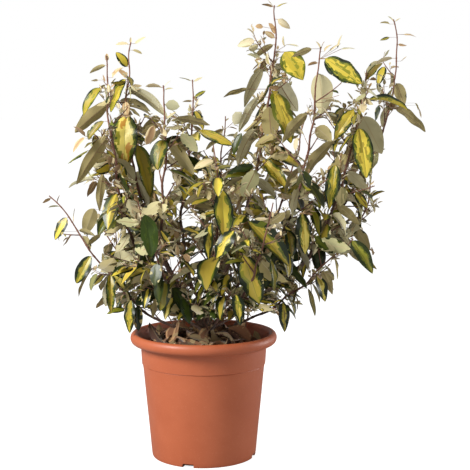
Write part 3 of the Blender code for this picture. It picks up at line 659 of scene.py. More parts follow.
@dataclass(frozen=True)
class LeafForm:
    """How a kind of leaf is cut, coloured and bent, for a leaf of length 1.

    Stations are the shares of the length where the blade has a row of corners. Cuts are the inner
    corners of the upper side, from the edge to the midrib, in shares of the half width, and bands
    are the zones between them. Under holds the corners of the lower side. Centre is how wide the
    bright middle is, and inner corners keep within the limits of inmost. Rates are how fast the
    noise changes from column to column and from row to row.
    """

    stations: tuple[float, ...]
    cuts: tuple[float, ...]
    bands: tuple[Zone, ...]
    under: tuple[float, ...]
    centre: Pair = (0.62, 1.06)
    inmost: Pair = (0.03, 0.94)
    uneven: float = 0.08
    wander: float = 0.38
    wander_rate: float = 3.2
    blotch_rates: Pair = (0.7, 0.16)
    blotch_level: float = 0.30
    feather_rates: Pair = (0.9, 0.33)
    feather: float = 0.0
    mottle_rates: Pair = (0.45, 0.24)
    mottle_level: float = 1.0
    fold: Pair = (0.08, 0.46)
    cup: Pair = (-0.36, 0.10)
    wave: Pair = (0.010, 0.034)
    waves: Pair = (1.4, 2.6)
    bend: Pair = (6.0, 52.0)
    twist: Pair = (-22.0, 22.0)
    thickness: float = 0.0075
    rib_height: float = 0.006
    stalk_radius: float = 0.0105
    base_power: Pair = (0.52, 0.66)
    tip_power: Pair = (0.68, 0.96)

    def outline(self, share: float, base: float, tip: float) -> float:
        """The blade's width at a share of its length, against its greatest width.

        Args:
            share: the share of the length.
            base: the power that rounds the base.
            tip: the power that draws out the tip.

        Returns:
            The width, 1 at the widest.
        """
        widest = base / (base + tip)
        return (share / widest) ** base * ((1 - share) / (1 - widest)) ** tip

    def columns(self) -> list[tuple[float, int, float]]:
        """Lists the corners round the blade.

        Returns:
            Each corner's place across, side (1 upper, 0 edge, -1 lower) and angle in the stalk's ring.
        """
        upper = (1.0, *self.cuts, 0.0, *(-cut for cut in reversed(self.cuts)), -1.0)
        last = len(upper) - 1
        found = [(x, 0 if i in (0, last) else 1, 180.0 * i / last) for i, x in enumerate(upper)]
        step = 180.0 / (len(self.under) + 1)
        return found + [(x, -1, 180.0 + step * (i + 1)) for i, x in enumerate(self.under)]

    def zone(self, row: int, column: int, patchy: float) -> Zone:
        """The zone that a face shows.

        Args:
            row: the face's row, 0 and 1 on the stalk.
            column: the face's column, counted round from one edge over the upper side.
            patchy: where the leaf lies in the pattern of blotches.

        Returns:
            The zone.
        """

        def spot(rates: Pair, layer: float) -> float:
            """The pattern's value at the face, in one of its layers."""
            return noise.noise(Vector((column * rates[0], row * rates[1], patchy + layer)))

        if row < 2:
            return Zone.STALK
        upper = 2 * len(self.bands)
        if column >= upper:
            middle = (len(self.under) + 1) / 2 + upper - 0.5
            if column == middle and len(self.under) > 1:
                return Zone.RIB
            return Zone.MOTTLE if spot(self.mottle_rates, 30.0) > self.mottle_level else Zone.UNDER
        place = min(column, upper - 1 - column)
        if place < len(self.bands) - 1:
            drift = round(self.feather * spot(self.feather_rates, 60.0))
            place = limited(place + drift, 0, len(self.bands) - 2)
        blotched = self.bands[place] is Zone.CENTRE and spot(self.blotch_rates, 0.0) > self.blotch_level
        return Zone.BLOTCH if blotched else self.bands[place]

    def across(self, x: float, share: float, spread: float, patchy: float, jag: float) -> float:
        """Where an inner corner lies between the midrib and the edge, as the pattern wanders.

        Args:
            x: its even place across.
            share: its share of the length.
            spread: how wide the leaf's bright centre is.
            patchy: where the leaf lies in the wandering.
            jag: its own unevenness, from -1 to 1.

        Returns:
            Its place across.
        """
        size = abs(x) * spread
        slow = noise.noise(Vector((share * self.wander_rate, patchy, 9.0 if x > 0 else 0.0)))
        size += self.wander * slow * 4 * size * (1 - size) + jag * self.uneven
        return math.copysign(limited(size, *self.inmost), x) if abs(x) > 0.05 else x

    def shape(self, chance: random.Random) -> "LeafShape":
        """Makes one leaf of this kind.

        Args:
            chance: the source of its unevenness.

        Returns:
            The leaf's shape, with its base at the origin and its midrib's chord along +X.
        """
        columns = self.columns()
        count, rings = len(columns), len(self.stations) + 1
        form = bmesh.new()
        bmesh.ops.create_uvsphere(form, u_segments=count, v_segments=rings + 1, radius=1.0)
        spots = {}
        first = next(vertex.co for vertex in form.verts if abs(vertex.co.z) < 0.99)
        for vertex in form.verts:
            ring = round(math.acos(limited(vertex.co.z, -1.0)) / math.pi * (rings + 1))
            turn = math.atan2(vertex.co.y, vertex.co.x) - math.atan2(first.y, first.x)
            around = round(turn / math.tau * count) % count
            spots[vertex] = (ring, around if 0 < ring <= rings else None)
        patchy = chance.uniform(0, 50)
        zones = []
        for face in form.faces:
            places = [spots[vertex] for vertex in face.verts]
            around = sorted({column for _, column in places if column is not None})
            column = around[-1] if around[0] == 0 and around[-1] == count - 1 else around[0]
            zones.append(self.zone(min(ring for ring, _ in places), column, patchy).value)
        spread = between(chance, self.centre)
        base, tip = between(chance, self.base_power), between(chance, self.tip_power)
        bend, twist = (math.radians(between(chance, v)) for v in (self.bend, self.twist))
        fold, cup, wave = (between(chance, v) for v in (self.fold, self.cup, self.wave))
        waves, phase = between(chance, self.waves), chance.uniform(0, math.tau)
        lag = chance.uniform(-1.2, 1.2)
        jags = [[chance.uniform(-1, 1) for _ in columns] for _ in range(rings + 2)]
        for vertex, (ring, around) in spots.items():
            if ring < 2:
                continue
            share = 1.0 if ring > rings else self.stations[ring - 2]
            x, side, angle = columns[around] if around is not None else (0.0, 0, 0.0)
            if side == 1 and x:
                x = self.across(x, share, spread, patchy, jags[ring][around])
            width = self.outline(share, base, tip)
            if ring == 2:
                across = self.stalk_radius * math.cos(math.radians(angle))
                rise = self.stalk_radius * math.sin(math.radians(angle))
            else:
                across = x * width * NOMINAL_WIDTH / 2
                ripple = wave * math.sin(math.tau * waves * share + phase + (lag if x > 0 else 0.0))
                rise = (fold * abs(x) + cup * x * x) * width * NOMINAL_WIDTH / 2
                rise += ripple * x * x * 4 * share * (1 - share)
                rise += side * self.thickness / 2 * (1 - x * x) * width**0.5
                if side == -1 and len(self.under) > 1:
                    rise -= self.rib_height * (1 - share)
            turned = twist * (share - 0.4)
            across, rise = (
                across * math.cos(turned) - rise * math.sin(turned),
                across * math.sin(turned) + rise * math.cos(turned),
            )
            way = bend * (0.5 - share)
            along = (math.sin(bend / 2) - math.sin(way)) / bend
            height = (math.cos(way) - math.cos(bend / 2)) / bend
            vertex.co = (along - math.sin(way) * rise, across, height + math.cos(way) * rise)
        angles = np.radians([angle for _, _, angle in columns])
        rim = {around: index for index, (ring, around) in enumerate(spots.values()) if ring == 1}
        pole = next(index for index, (ring, _) in enumerate(spots.values()) if ring == 0)
        for vertex, (ring, around) in spots.items():
            if ring < 2:
                size = self.stalk_radius if ring else 0.0
                angle = angles[around] if ring else 0.0
                vertex.co = (-0.1 - (0 if ring else 0.01), size * math.cos(angle), size * math.sin(angle))
        return LeafShape(as_shape(form, zones), angles, [rim[i] for i in range(count)], pole)


@dataclass
class LeafShape:
    """One leaf's shape with the numbers of the corners where its stalk leaves the wood."""

    shape: Shape
    angles: np.ndarray
    rim: list[int]
    pole: int
    foot_radius: float = 0.0105

    def placed(self, leaf: Leaf) -> np.ndarray:
        """The corners of a leaf in place, its stalk drawn out to its foot.

        Args:
            leaf: the leaf.

        Returns:
            The corners.
        """
        turn = leaf.turn()
        scale = np.array((leaf.length, leaf.length * leaf.width / NOMINAL_WIDTH, leaf.length))
        corners = (self.shape.corners * scale) @ turn.T + np.array(leaf.base())
        out = np.array(leaf.out)
        side = turn[:, 1] - out * turn[:, 1].dot(out)
        side /= max(1e-6, np.linalg.norm(side))
        over = np.cross(out, side)
        size = self.foot_radius * leaf.length
        ring = np.cos(self.angles)[:, None] * side + np.sin(self.angles)[:, None] * over
        corners[self.rim] = np.array(leaf.foot) + ring * size
        corners[self.pole] = np.array(leaf.foot) - out * size
        return corners


LARGE_FORM = LeafForm(
    stations=(0.0, 0.07, 0.20, 0.36, 0.53, 0.70, 0.84, 0.95),
    cuts=(0.84, 0.70, 0.44),
    bands=(Zone.MARGIN, Zone.INNER, Zone.CENTRE, Zone.CENTRE),
    under=(-0.55, -0.06, 0.06, 0.55),
)
SHOWN_FORM = LeafForm(
    stations=(0.0, *(0.03 + 0.94 * step / 18 for step in range(19))),
    cuts=(0.92, 0.85, 0.78, 0.70, 0.60, 0.42, 0.22, 0.025),
    bands=(*(Zone.MARGIN,) * 2, *(Zone.INNER,) * 2, Zone.BAND, *(Zone.CENTRE,) * 3, Zone.VEIN),
    under=(-0.75, -0.45, -0.18, -0.05, 0.05, 0.18, 0.45, 0.75),
    centre=(0.80, 1.08),
    uneven=0.07,
    wander_rate=4.5,
    blotch_level=0.22,
    feather=2.8,
    mottle_level=0.06,
    bend=(10.0, 45.0),
    twist=(-14.0, 14.0),
)
# Low in the crown the bright centres are narrower, so leaves there are greener and darker, partly as painted
# shade.
LOW_FORM = replace(LARGE_FORM, centre=(0.42, 0.82))
SHOWN_LOW_FORM = replace(SHOWN_FORM, centre=(0.52, 0.80))
YOUNG_FORM = LeafForm(
    stations=(0.0, 0.20, 0.50, 0.80),
    cuts=(0.55,),
    bands=(Zone.MARGIN, Zone.CENTRE),
    under=(0.0,),
    fold=(0.10, 0.60),
    cup=(-0.40, 0.30),
    bend=(-35.0, 60.0),
    twist=(-30.0, 30.0),
    thickness=0.020,
    stalk_radius=0.020,
    base_power=(0.50, 0.66),
    tip_power=(0.62, 0.95),
)
DEAD_FORM = replace(
    LARGE_FORM,
    fold=(0.1, 0.9),
    cup=(-0.9, 0.6),
    wave=(0.02, 0.06),
    bend=(20.0, 120.0),
    twist=(-50.0, 50.0),
)


# Growth


@dataclass(frozen=True)
class Stem:
    """One stem: how far up its parent it starts, the point it bends towards, its tip, and its radius.

    Bare is the share of its length without leaves, and leaf the length of its largest leaves. Its leafy
    part bows sideways by its bow, and from the share listed on it bears only the leaves that are listed
    for the front view.
    """

    name: str
    fork: float
    elbow: Triple
    tip: Triple
    radius: float
    bare: float
    leaf: float
    bow: float = 0.0
    listed: float = 1.0
    parent: str = "trunk"

    def way_up(self, share: float) -> float:
        """How far up its leafy part a share of its length lies, from 0 to 1."""
        return max(0.0, (share - self.bare) / (1 - self.bare))


STEMS = (
    Stem("left_low", 0.24, (-0.165, -0.03, 0.258), (-0.266, -0.035, 0.458), 0.0027, 0.22, 0.05, 0.016, 0.55),
    Stem("left_outer", 0.6, (-0.19, -0.025, 0.365), (-0.164, -0.04, 0.694), 0.0038, 0.36, 0.088, 0.008, 0.86),
    Stem("left_tall", 0.8, (-0.15, 0.05, 0.375), (-0.13, 0.045, 0.723), 0.0038, 0.36, 0.086, -0.004, 0.86),
    Stem(
        "left_inner", 0.7, (-0.115, -0.09, 0.335), (-0.066, -0.105, 0.645), 0.0036, 0.38, 0.078, 0.018,
        0.86,
    ),
    Stem("centre_left", 0.95, (-0.08, 0.09, 0.345), (-0.02, 0.1, 0.658), 0.0036, 0.36, 0.074, 0.01, 0.88),
    Stem("centre_tall", 1.0, (0.078, 0.02, 0.34), (0.125, 0.02, 0.784), 0.0042, 0.34, 0.088, 0.009, 0.82),
    Stem("right_inner", 0.86, (0.18, -0.06, 0.325), (0.2, -0.06, 0.712), 0.0038, 0.38, 0.084, -0.001, 0.9),
    Stem("right_tall", 0.74, (0.305, 0.05, 0.33), (0.337, 0.05, 0.763), 0.004, 0.44, 0.066, 0.018, 0.76),
    Stem(
        "right_mid", 0.2, (0.228, -0.045, 0.35), (0.282, -0.03, 0.668), 0.0032, 0.36, 0.09, 0.0, 0.95,
        "right_tall",
    ),
    Stem(
        "right_side", 0.34, (0.275, 0.005, 0.375), (0.296, 0.01, 0.474), 0.0024, 0.25, 0.066,
        parent="right_tall",
    ),
    Stem("right_low", 0.26, (0.13, -0.03, 0.248), (0.258, -0.045, 0.385), 0.0027, 0.24, 0.064),
    Stem("front_mid", 0.56, (0.01, -0.12, 0.315), (0.02, -0.15, 0.545), 0.0032, 0.25, 0.08, 0.014),
    Stem("front_right", 0.5, (0.092, -0.135, 0.29), (0.118, -0.175, 0.455), 0.003, 0.23, 0.086),
    Stem("front_left", 0.46, (-0.065, -0.13, 0.295), (-0.1, -0.165, 0.455), 0.003, 0.23, 0.076),
    Stem("back_left", 0.66, (-0.11, 0.14, 0.325), (-0.13, 0.185, 0.555), 0.0034, 0.27, 0.08),
    Stem("back_mid", 0.54, (0.02, 0.15, 0.335), (0.036, 0.19, 0.59), 0.0034, 0.32, 0.08),
    Stem("back_right", 0.7, (0.14, 0.14, 0.335), (0.19, 0.18, 0.6), 0.0034, 0.28, 0.08),
    Stem("front_skirt", 0.22, (0.03, -0.09, 0.252), (0.048, -0.14, 0.305), 0.0024, 0.26, 0.064),
    Stem("back_skirt", 0.2, (-0.034, 0.1, 0.256), (-0.055, 0.152, 0.318), 0.0024, 0.26, 0.064),
    Stem("back_right_low", 0.34, (0.12, 0.1, 0.268), (0.205, 0.15, 0.4), 0.0028, 0.28, 0.072),
    Stem("back_left_low", 0.36, (-0.11, 0.09, 0.268), (-0.205, 0.13, 0.4), 0.0028, 0.28, 0.072),
)


@dataclass(frozen=True)
class Shown:
    """A leaf that stands out in the front view, by its node's height on the stem.

    Its height and its length are in millimetres, and its width and stalk are shares of its length. A
    long stalk stands for a thin side twig, and rises by its own angle.
    """

    height: float
    heading: float
    droop: float
    roll: float
    length: float
    width: float = 0.46
    dress: Dress = VARIEGATED
    stalk: float = 0.11
    rise: float = 0.0


SHOWN_LEAVES = {
    "left_tall": (
        (733, 90, -80, 0, 12, 0.35, YOUNG), (732, 0, -30, 50, 24, 0.36, YOUNG, 0.3),
        (729, 180, 2, -50, 24, 0.32, YOUNG), (719, 0, 22, 40, 19, 0.42, YOUNG, 0.3),
        (690, 178, -52, -60, 33, 0.56), (670, 180, -42, 60, 26, 0.4, TAN),
        (668, 186, 66, -60, 65, 0.31), (653, 0, -8, -60, 24, 0.36, YOUNG),
        (651, 0, 38, -60, 88, 0.25, PALE, 0.05), (627, 182, 40, 60, 84, 0.33, KHAKI, 0.32),
        (633, 10, 30, -50, 46, 0.3, KHAKI), (628, -80, 60, 20, 34, 0.45, TAN),
        (604, -100, 80, 0, 92, 0.54, SCORCHED_LEAF), (551, -10, 76, 55, 96, 0.32, SHADED, 0.16),
        (491, -5, 69, -50, 68, 0.26, PALE, 0.02),
    ),
    "left_outer": (
        (696, 100, -80, 0, 14, 0.5, TAN), (689, 180, 27, 60, 31, 0.28, YOUNG),
        (668, 0, -40, 40, 28, 0.36, TAN, 0.3), (664, 180, 5, 40, 13, 0.44, TAN, 1.2),
        (650, 180, 58, -55, 56, 0.38, VARIEGATED, 0.24), (594, 183, 48, -50, 40, 0.4, BRONZE, 0.2),
        (551, 178, -38, -30, 27, 0.42, TAN, 1.9, 20), (548, 180, 52, -40, 33, 0.42, TAN, 1.6, 20),
        (536, 180, 33, -15, 43, 0.34, LIME, 1.1, 10), (569, 185, 57, 66, 100, 0.25, KHAKI, 0.06),
        (503, 180, 84, 60, 66, 0.25, KHAKI, 0.35), (484, 180, 20, 40, 47, 0.24, PALE, 0.9, 14),
        (491, 180, 60, 50, 32, 0.45, TAN, 1.1), (430, 175, 70, 75, 50, 0.5, KHAKI, 1.05, 14),
    ),
    "left_inner": (
        (655, 0, -42, 20, 15, 0.22, YOUNG), (650, 182, -4, 30, 27, 0.44, YOUNG),
        (646, 0, -10, 30, 14, 0.34, YOUNG), (622, 0, 8, -76, 24, 0.78, YOUNG, 0.1),
        (612, 178, -50, 0, 15, 0.26, TAN), (600, 5, 12, -40, 58, 0.34, KHAKI, 0.33),
        (600, 178, 32, 50, 36, 0.42, KHAKI, 0.2), (598, 10, -35, 30, 22, 0.3, YOUNG),
        (589, 182, 22, 40, 38, 0.42, KHAKI), (564, -118, 70, 0, 54, 0.58, BRONZE),
        (557, 5, 52, -60, 66, 0.36, KHAKI),
    ),
    "centre_left": (
        (668, 180, -14, 30, 24, 0.18, YOUNG), (666, 0, -25, 40, 18, 0.4, YOUNG),
        (636, 0, -32, 50, 24, 0.46, LIME), (630, 180, 5, 40, 18, 0.36, YOUNG),
        (614, 0, -30, 20, 21, 0.3, YOUNG), (612, -30, 64, 10, 40, 0.62, SCORCHED_LEAF),
        (577, -15, 23, 50, 72, 0.32, VARIEGATED, 0.2), (530, 0, -38, -50, 37, 0.28, PALE, 0.9, 20),
        (520, 178, 6, 40, 50, 0.34, KHAKI), (437, 0, 12, -50, 48, 0.42, KHAKI, 0.4),
    ),
    "left_low": (
        (462, 182, 30, 40, 17, 0.5, TAN), (455, 0, -70, 0, 14, 0.38, TAN),
        (447, 182, 4, 30, 20, 0.36, YOUNG), (428, 183, 62, -60, 44, 0.48),
        (421, 20, -82, 0, 25, 0.2, TAN), (406, 0, 22, -50, 32, 0.4, KHAKI),
        (404, 186, 80, 0, 19, 0.38, PALE, 1.5), (396, 0, 60, -60, 28, 0.45, KHAKI),
        (380, 0, -40, -50, 30, 0.4, KHAKI), (361, 186, 62, -75, 54, 0.44),
        (340, 186, 64, 12, 57, 0.34, SHADED, 0.35), (327, -20, 52, 30, 34, 0.55),
        (329, -85, 80, 0, 68, 0.26, SHADED), (320, 172, 76, 70, 52, 0.42, PALE),
        (305, -10, 84, 0, 64, 0.15, KHAKI), (283, -105, 82, 10, 58, 0.38, SHADED),
        (272, -80, 82, 15, 44, 0.42, GREEN),
    ),
    "centre_tall": (
        (800, 175, -50, 0, 17, 0.26, YOUNG), (796, 180, -12, 40, 21, 0.32, TAN),
        (795, 0, -20, 30, 20, 0.3, KHAKI, 0.25), (771, 0, 37, 60, 28, 0.56, YOUNG, 0.2),
        (754, 180, -5, -60, 14, 0.75, TAN, 1.6, 10), (746, 180, -60, 50, 22, 0.5, TAN),
        (739, 180, -30, -60, 22, 0.55, TAN), (713, 0, -98, 20, 19, 0.44, YOUNG, 1.1, 32),
        (714, 0, 8, 20, 21, 0.38, YOUNG, 1.2, 32), (727, 180, 35, 60, 41, 0.31, KHAKI),
        (714, -30, 54, 55, 62, 0.68, SUNLIT, 0.32), (692, 180, -40, 20, 20, 0.42, YOUNG, 1.3, 30),
        (687, 180, -25, 30, 28, 0.4, YOUNG, 0.8, 30), (682, 180, 45, 20, 16, 0.46, TAN, 1.6, 28),
        (685, 183, 65, 60, 76, 0.3, PALE, 0.23), (662, 30, 52, -80, 66, 0.54, PALE, 0.28),
        (650, 180, 18, 50, 48, 0.23, KHAKI, 0.8), (645, -50, 64, 12, 100, 0.4, SUNLIT),
        (636, 186, 62, 60, 70, 0.28, PALE, 0.3), (594, 182, 60, 80, 26, 0.8, PALE, 1.8, 20),
        (580, 186, 65, 60, 74, 0.34, PALE, 0.2), (560, 190, 70, -40, 42, 0.42, GREEN, 0.9, 20),
        (526, -28, 46, 45, 72, 0.33), (512, 188, 12, -50, 48, 0.36, GREEN),
        (498, 183, 6, -40, 54, 0.36, LIME), (492, 15, 42, -60, 48, 0.38, PALE),
        (468, -15, 52, -50, 44, 0.36, PALE), (470, 195, 66, 40, 54, 0.3, TAN),
    ),
    "right_inner": (
        (718, 200, -55, 0, 14, 0.48, TAN), (717, 0, -65, 0, 13, 0.45, TAN),
        (715.5, 182, 22, 60, 36, 0.36, KHAKI, 0.42), (711, 0, -40, 30, 18, 0.38, TAN, 0.4),
        (698, 0, -32, 20, 24, 0.38, YOUNG, 0.9, 40), (698, 0, -70, 20, 24, 0.42, YOUNG, 1.5, 32),
        (698, 0, 0, 20, 24, 0.46, YOUNG, 1.7, 25), (699, -20, 34, 55, 76, 0.52, VARIEGATED, 0.14),
        (692, 180, 15, 50, 18, 0.4, TAN), (674, 62, 80, 0, 68, 0.6, PALE),
        (626, -10, 2, 0, 30, 0.32, TAN, 0.5), (618, -30, 60, -30, 40, 0.42, TAN, 0.35),
        (606, 182, 50, 60, 66, 0.34, KHAKI, 0.2), (584, 5, 42, -60, 36, 0.76, DULL, 0.2),
        (425, -45, 84, 25, 70, 0.41, VARIEGATED, 0.45, 24), (408, -60, 76, 10, 46, 0.48, BRONZE, 0.3),
    ),
    "right_tall": (
        (773, 178, -40, 20, 13, 0.3, YOUNG), (769, 0, -30, 20, 12, 0.3, YOUNG),
        (765, 180, -5, 30, 18, 0.34, YOUNG, 0.5), (747, 0, 12, 30, 24, 0.3, TAN, 0.5),
        (742, 180, 18, -50, 18, 0.42, KHAKI, 0.75), (729, 0, 5, 40, 16, 0.5, TAN),
        (705, 182, 18, 40, 34, 0.34, YOUNG, 0.2), (700, 10, -40, 0, 14, 0.4, TAN, 0.6),
        (673, 180, -20, 20, 16, 0.42, TAN), (670, 200, 8, 0, 18, 0.38, TAN),
        (661, 15, 68, -65, 44, 0.5, KHAKI), (626, -5, 66, -30, 14, 0.3, KHAKI, 3.0),
        (622, 0, 72, 20, 24, 0.34, TAN, 2.0), (622.5, 183, 78, -60, 30, 0.34, GREEN, 0.7),
        (621, 184, 76, 70, 40, 0.38, PALE), (619.5, 2, 39, -50, 74, 0.26, KHAKI),
        (372, -100, 80, 0, 48, 0.54, GREEN), (362, -150, 80, -40, 50, 0.26, KHAKI, 0.35),
    ),
    "right_mid": (
        (674, 0, 30, 20, 18, 0.36, YOUNG, 1.1), (664, 0, -46, 40, 42, 0.38, BRONZE, 0.02),
        (652, 0, 76, -50, 18, 0.55, PALE, 1.3, 20), (636, 180, 75, 20, 18, 0.36, TAN),
        (631, 180, -52, 20, 16, 0.42, KHAKI, 1.0), (631, -5, 16, 30, 70, 0.34, VARIEGATED, 0.17),
        (614, 188, 57, -70, 62, 0.38, VARIEGATED, 0.18), (616, 183, 75, 60, 25, 0.5, KHAKI, 1.2),
        (602, 25, 58, -60, 78, 0.48, PALE), (582, -62, 74, 25, 88, 0.4),
        (560, 184, 51, 60, 80, 0.3, KHAKI, 0.44), (519, 188, 82, -75, 78, 0.34, VARIEGATED, 0.25),
        (508, 30, 38, -60, 56, 0.36, PALE), (482, -100, 70, 10, 36, 0.66, DULL, 0.2),
        (450, 0, 42, -60, 52, 0.36, KHAKI),
    ),
    "right_side": (
        (460, 5, -23, 30, 27, 0.34, KHAKI, 0.15), (459, -150, 80, 20, 54, 0.36, BRONZE, 0.12),
        (452, -30, 65, 0, 22, 0.6, YOUNG), (406, 5, 54, -60, 50, 0.44, KHAKI, 0.02),
    ),
    "right_low": (
        (389, -30, 55, 45, 68, 0.4, LIME, 0.02), (360, -45, 80, -60, 40, 0.18, KHAKI),
        (336, 0, 68, -60, 46, 0.36, KHAKI, 0.22), (328, -30, 70, 25, 48, 0.5, VARIEGATED, 0.15),
        (318, -70, 80, -60, 30, 0.36, KHAKI), (304, -20, 75, 40, 50, 0.2, DULL, 0.3),
        (303, -150, 76, 20, 34, 0.5, SHADED), (296, -30, 82, -40, 34, 0.28, KHAKI),
        (280, -70, 80, 10, 52, 0.4, SHADED, 0.2),
    ),
    "front_mid": (
        (484, -72, 78, 0, 78, 0.43), (406, -10, 47, 45, 100, 0.37, VARIEGATED, 0.58, 24),
        (427, 195, 86, -50, 62, 0.3, SHADED, 0.2), (348, -20, 71, 74, 86, 0.46, VARIEGATED, 0.72, 24),
        (345, 200, 56, -40, 46, 0.28, LIME),
    ),
    "front_right": (
        (395, 188, 58, -60, 54, 0.52, VARIEGATED, 1.0, 25), (368, -5, 84, 50, 54, 0.26, SHADED, 0.38),
        (283, -60, 70, 0, 36, 0.6, GREEN),
    ),
    "front_left": (
        (445, -50, 77, 10, 70, 0.45, FRESH, 0.18), (406, -15, 56, 50, 28, 0.5, VARIEGATED, 0.9, 28),
        (361, -110, 72, 0, 38, 0.56, GREEN), (338, -150, 82, 20, 50, 0.44, SHADED, 0.7, 24),
        (344, -100, 78, 20, 50, 0.4, GREEN), (288, 0, -35, -60, 36, 0.5, PALE, 0.05),
        (316, -30, 60, 20, 56, 0.5, GREEN), (300, -50, 66, 0, 46, 0.5, GREEN, 0.6),
    ),
    "front_skirt": (
        (312, -55, 76, 10, 46, 0.5, VARIEGATED, 0.35), (308, -135, 76, 0, 40, 0.44, SHADED, 0.3),
    ),
}

# Ovals in the plane of the stems through which the front view shows what is behind the plant: X and Z
# of the middle, half the width and half the height, in millimetres.
OPENINGS = (
    (-172, 594, 7, 12), (-146, 645, 7, 14), (-155, 610, 8, 9), (-104, 690, 24, 40), (-90, 636, 11, 17),
    (-106, 624, 10, 9), (-99, 589, 9, 8), (-40, 640, 12, 36), (-94, 534, 9, 16), (-80, 488, 6, 20),
    (-66, 490, 9, 26), (-123, 516, 9, 10), (-190, 448, 10, 12), (-153, 428, 8, 6), (-139, 389, 8, 11),
    (-184, 380, 16, 8), (-196, 357, 14, 12), (-137, 353, 6, 10), (-86, 355, 9, 6), (-56, 339, 13, 11),
    (-28, 414, 11, 8), (-38, 438, 7, 10), (-8, 353, 15, 8), (-14, 296, 11, 8), (124, 447, 12, 10),
    (143, 451, 8, 7), (133, 422, 8, 6), (159, 346, 8, 12), (176, 300, 6, 16), (256, 437, 12, 14),
    (250, 642, 13, 17), (246, 336, 22, 15), (190, 262, 14, 22), (170, 640, 12, 36), (182, 589, 9, 12),
    (213, 585, 10, 11), (211, 524, 13, 10), (175, 547, 6, 18), (190, 549, 10, 11), (3, 553, 11, 10),
    (31, 539, 12, 9), (20, 640, 26, 60), (56, 626, 14, 24), (149, 551, 9, 10), (157, 518, 9, 9),
    (106, 666, 7, 14), (89, 486, 8, 8), (300, 600, 12, 22), (372, 664, 30, 40), (105, 246, 20, 12),
    (-224, 634, 24, 30), (-222, 380, 16, 18), (344, 576, 30, 36), (326, 500, 26, 44),
    (13, 208, 124, 26), (330, 400, 36, 50), (-240, 520, 30, 40), (-215, 450, 20, 30),
)


class Space:
    """What has been grown so far, in cells, for keeping leaves and twigs apart."""

    cell = 0.08

    def __init__(self) -> None:
        """Starts empty."""
        self.cells: dict[tuple[int, ...], list[tuple[BVHTree, Vector, float]]] = {}

    def key(self, place: Vector) -> tuple[int, ...]:
        """The cell that holds a place."""
        return tuple(int(math.floor(value / self.cell)) for value in place)

    def free(self, tree: BVHTree, middle: Vector, reach: float) -> bool:
        """Says if a form touches nothing that is there.

        Args:
            tree: the form's surface.
            middle: its middle.
            reach: the radius of a ball round its middle that holds it.

        Returns:
            True if it is clear.
        """
        column, row, level = self.key(middle)
        for i, j, k in product((-1, 0, 1), repeat=3):
            cell = (column + i, row + j, level + k)
            for other, other_middle, other_reach in self.cells.get(cell, ()):
                near = (other_middle - middle).length < reach + other_reach
                if near and tree.overlap(other):
                    return False
        return True

    def add(self, tree: BVHTree, middle: Vector, reach: float) -> None:
        """Adds a form."""
        self.cells.setdefault(self.key(middle), []).append((tree, middle, reach))


class Outlines:
    """Simple closed outlines of leaves and bars, for keeping them apart."""

    bar_faces = ((0, 1, 4, 3), (1, 2, 5, 4), (2, 0, 3, 5), (0, 2, 1), (3, 4, 5))

    def __init__(self) -> None:
        """Makes the six-sided leaf outline."""
        form = bmesh.new()
        bmesh.ops.create_uvsphere(form, u_segments=6, v_segments=2, radius=1.0)
        self.lens = np.array([(vertex.co.y, -vertex.co.x, vertex.co.z) for vertex in form.verts])
        self.lens_faces = [[vertex.index for vertex in face.verts] for face in form.faces]
        form.free()
        self.lens[:, 0] = (self.lens[:, 0] + 1) / 2
        self.lens[:, 1] /= math.sin(math.tau / 6) * 2

    def leaf(self, leaf: Leaf, thickness: float) -> tuple[list[list[float]], BVHTree]:
        """The outline of a leaf's blade, a flat ball.

        Args:
            leaf: the leaf.
            thickness: its thickness as a share of its length.

        Returns:
            Its corners and its search tree.
        """
        scale = np.array((leaf.length, leaf.length * leaf.width, leaf.length * thickness / 2))
        corners = ((self.lens * scale) @ leaf.turn().T + np.array(leaf.base())).tolist()
        return corners, BVHTree.FromPolygons(corners, self.lens_faces)

    def bar(self, low: Vector, high: Vector, radius: float) -> tuple[BVHTree, Vector, float]:
        """A three-sided bar between two points.

        Args:
            low: one end.
            high: the other end.
            radius: its radius.

        Returns:
            Its search tree, its middle and the reach of a ball that holds it.
        """
        way = (high - low).normalized()
        across = way.orthogonal().normalized()
        turns = [Matrix.Rotation(math.tau * number / 3, 3, way) for number in range(3)]
        corners = [place + turn @ across * radius for place in (low, high) for turn in turns]
        tree = BVHTree.FromPolygons(corners, self.bar_faces)
        return tree, (low + high) / 2, (high - low).length / 2 + radius


@dataclass(frozen=True)
class PotSizes:
    """The pot's sizes, as in the solids, and how near the leaves come to it."""

    height: float = 0.222
    rim_radius: float = 0.130
    rim_width: float = 0.0145
    rim_height: float = 0.019
    neck_radius: float = 0.1120
    band_radius: float = 0.1098
    band_height: float = 0.166
    band_step: float = 0.0014
    shoulder_radius: float = 0.1072
    shoulder_height: float = 0.156
    base_radius: float = 0.0925
    base_edge: float = 0.0020
    wall: float = 0.0024
    floor: float = 0.0032
    soil_top: float = 0.193
    soil_mound: float = 0.004
    leaf_gap: Pair = (0.014, 0.020)
    leaf_slope: float = 0.15
    leaf_floor: float = 0.200

    def lowest(self, away: float) -> float:
        """Tells how low a leaf may reach.

        Args:
            away: its distance from the pot's axis.

        Returns:
            The lowest height.
        """
        if away < self.rim_radius + self.leaf_gap[0]:
            return self.height + self.leaf_gap[1] + self.leaf_slope * away
        return self.leaf_floor

    def inner_radius(self, height: float) -> float:
        """The pot's inner radius at a height below its shoulder."""
        rise = height / self.shoulder_height
        return self.base_radius - self.wall + (self.shoulder_radius - self.base_radius) * rise


POT = PotSizes()


